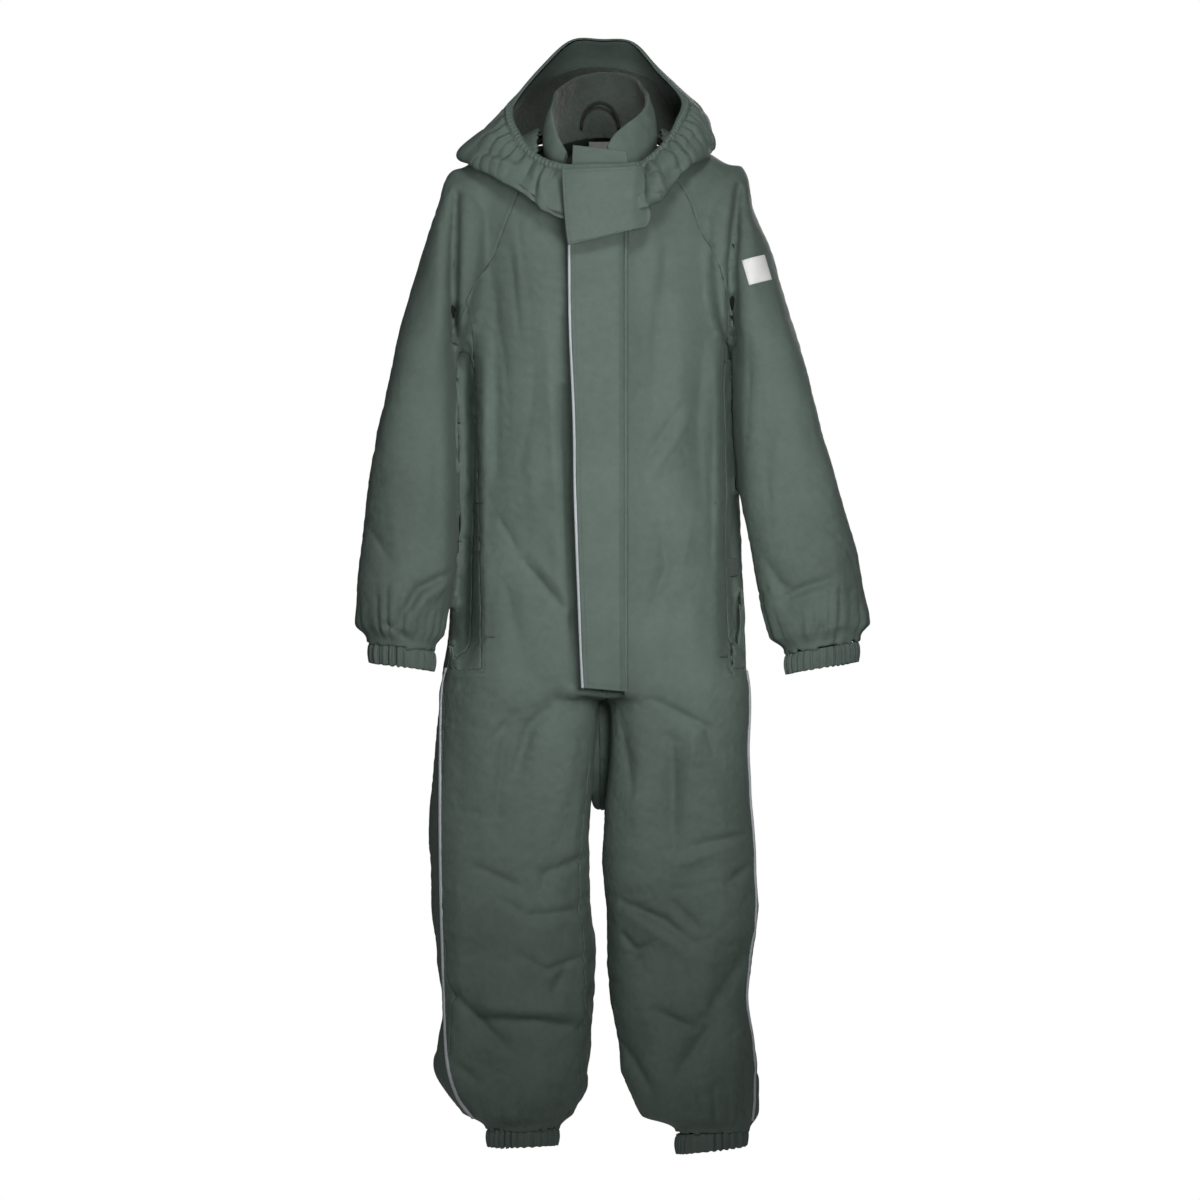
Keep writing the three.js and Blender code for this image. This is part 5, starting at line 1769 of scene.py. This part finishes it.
# %% Camera
FRAME_WIDTH, DISTANCE, EYE_HEIGHT, SHARP_Y = 1.26, 6.0, -0.52, -0.05
lens = bpy.data.cameras.new("camera")
lens.sensor_width = 36
lens.lens = 36 * (DISTANCE + SHARP_Y) / FRAME_WIDTH
camera = bpy.data.objects.new("camera", lens)
scene.collection.objects.link(camera)
camera.location = (0, -DISTANCE, EYE_HEIGHT)
camera.rotation_euler = (math.pi / 2, 0, 0)
scene.camera = camera

# %% Lights
def area_light(name, place_at, look_at, size, power):
    data = bpy.data.lights.new(name, "AREA")
    data.size, data.energy = size, power
    light = bpy.data.objects.new(name, data)
    scene.collection.objects.link(light)
    light.location = place_at
    light.rotation_euler = (Vector(look_at) - Vector(place_at)).to_track_quat("-Z", "Y").to_euler()
    light.visible_camera = False
    return light


key = area_light("key", (0.32, -1.2, -0.30), (0, 0, -0.46), 0.5, 1.8)
key.data.spread = math.radians(65)
crown = area_light("crown", (0.1, -1.0, 0.55), (0, -0.06, 0.0), 0.3, 0.3)
crown.data.spread = math.radians(36)
area_light("fill", (-1.5, -1.7, 0.2), (0, 0, -0.4), 1.2, 8.0)
area_light("back_key", (0.4, 1.7, 0.3), (0, 0, -0.45), 1.0, 22)
world = bpy.data.worlds.new("surround")
scene.world = world
world.use_nodes = True
sky = world.node_tree
background = sky.nodes["Background"]
background.inputs["Color"].default_value = (1, 1, 1, 1)
seen = sky.nodes.new("ShaderNodeLightPath")
level = sky.nodes.new("ShaderNodeMapRange")
level.inputs["To Min"].default_value = 0.05
level.inputs["To Max"].default_value = 1.0
sky.links.new(seen.outputs["Is Camera Ray"], level.inputs["Value"])
sky.links.new(level.outputs["Result"], background.inputs["Strength"])
scene.view_settings.view_transform = "Standard"

# %% Floor
FLOOR_Z = -1.30
corners = [(x, y, FLOOR_Z) for x, y in ((-0.9, -0.9), (0.9, -0.9), (0.9, 0.5), (-0.9, 0.5))]
floor = make_mesh("floor", corners, [(0, 1, 2, 3)], smooth=False)
dress(floor, finish("pale_floor", (0.78, 0.78, 0.77), (0.84, 0.84, 0.83), 0.8))
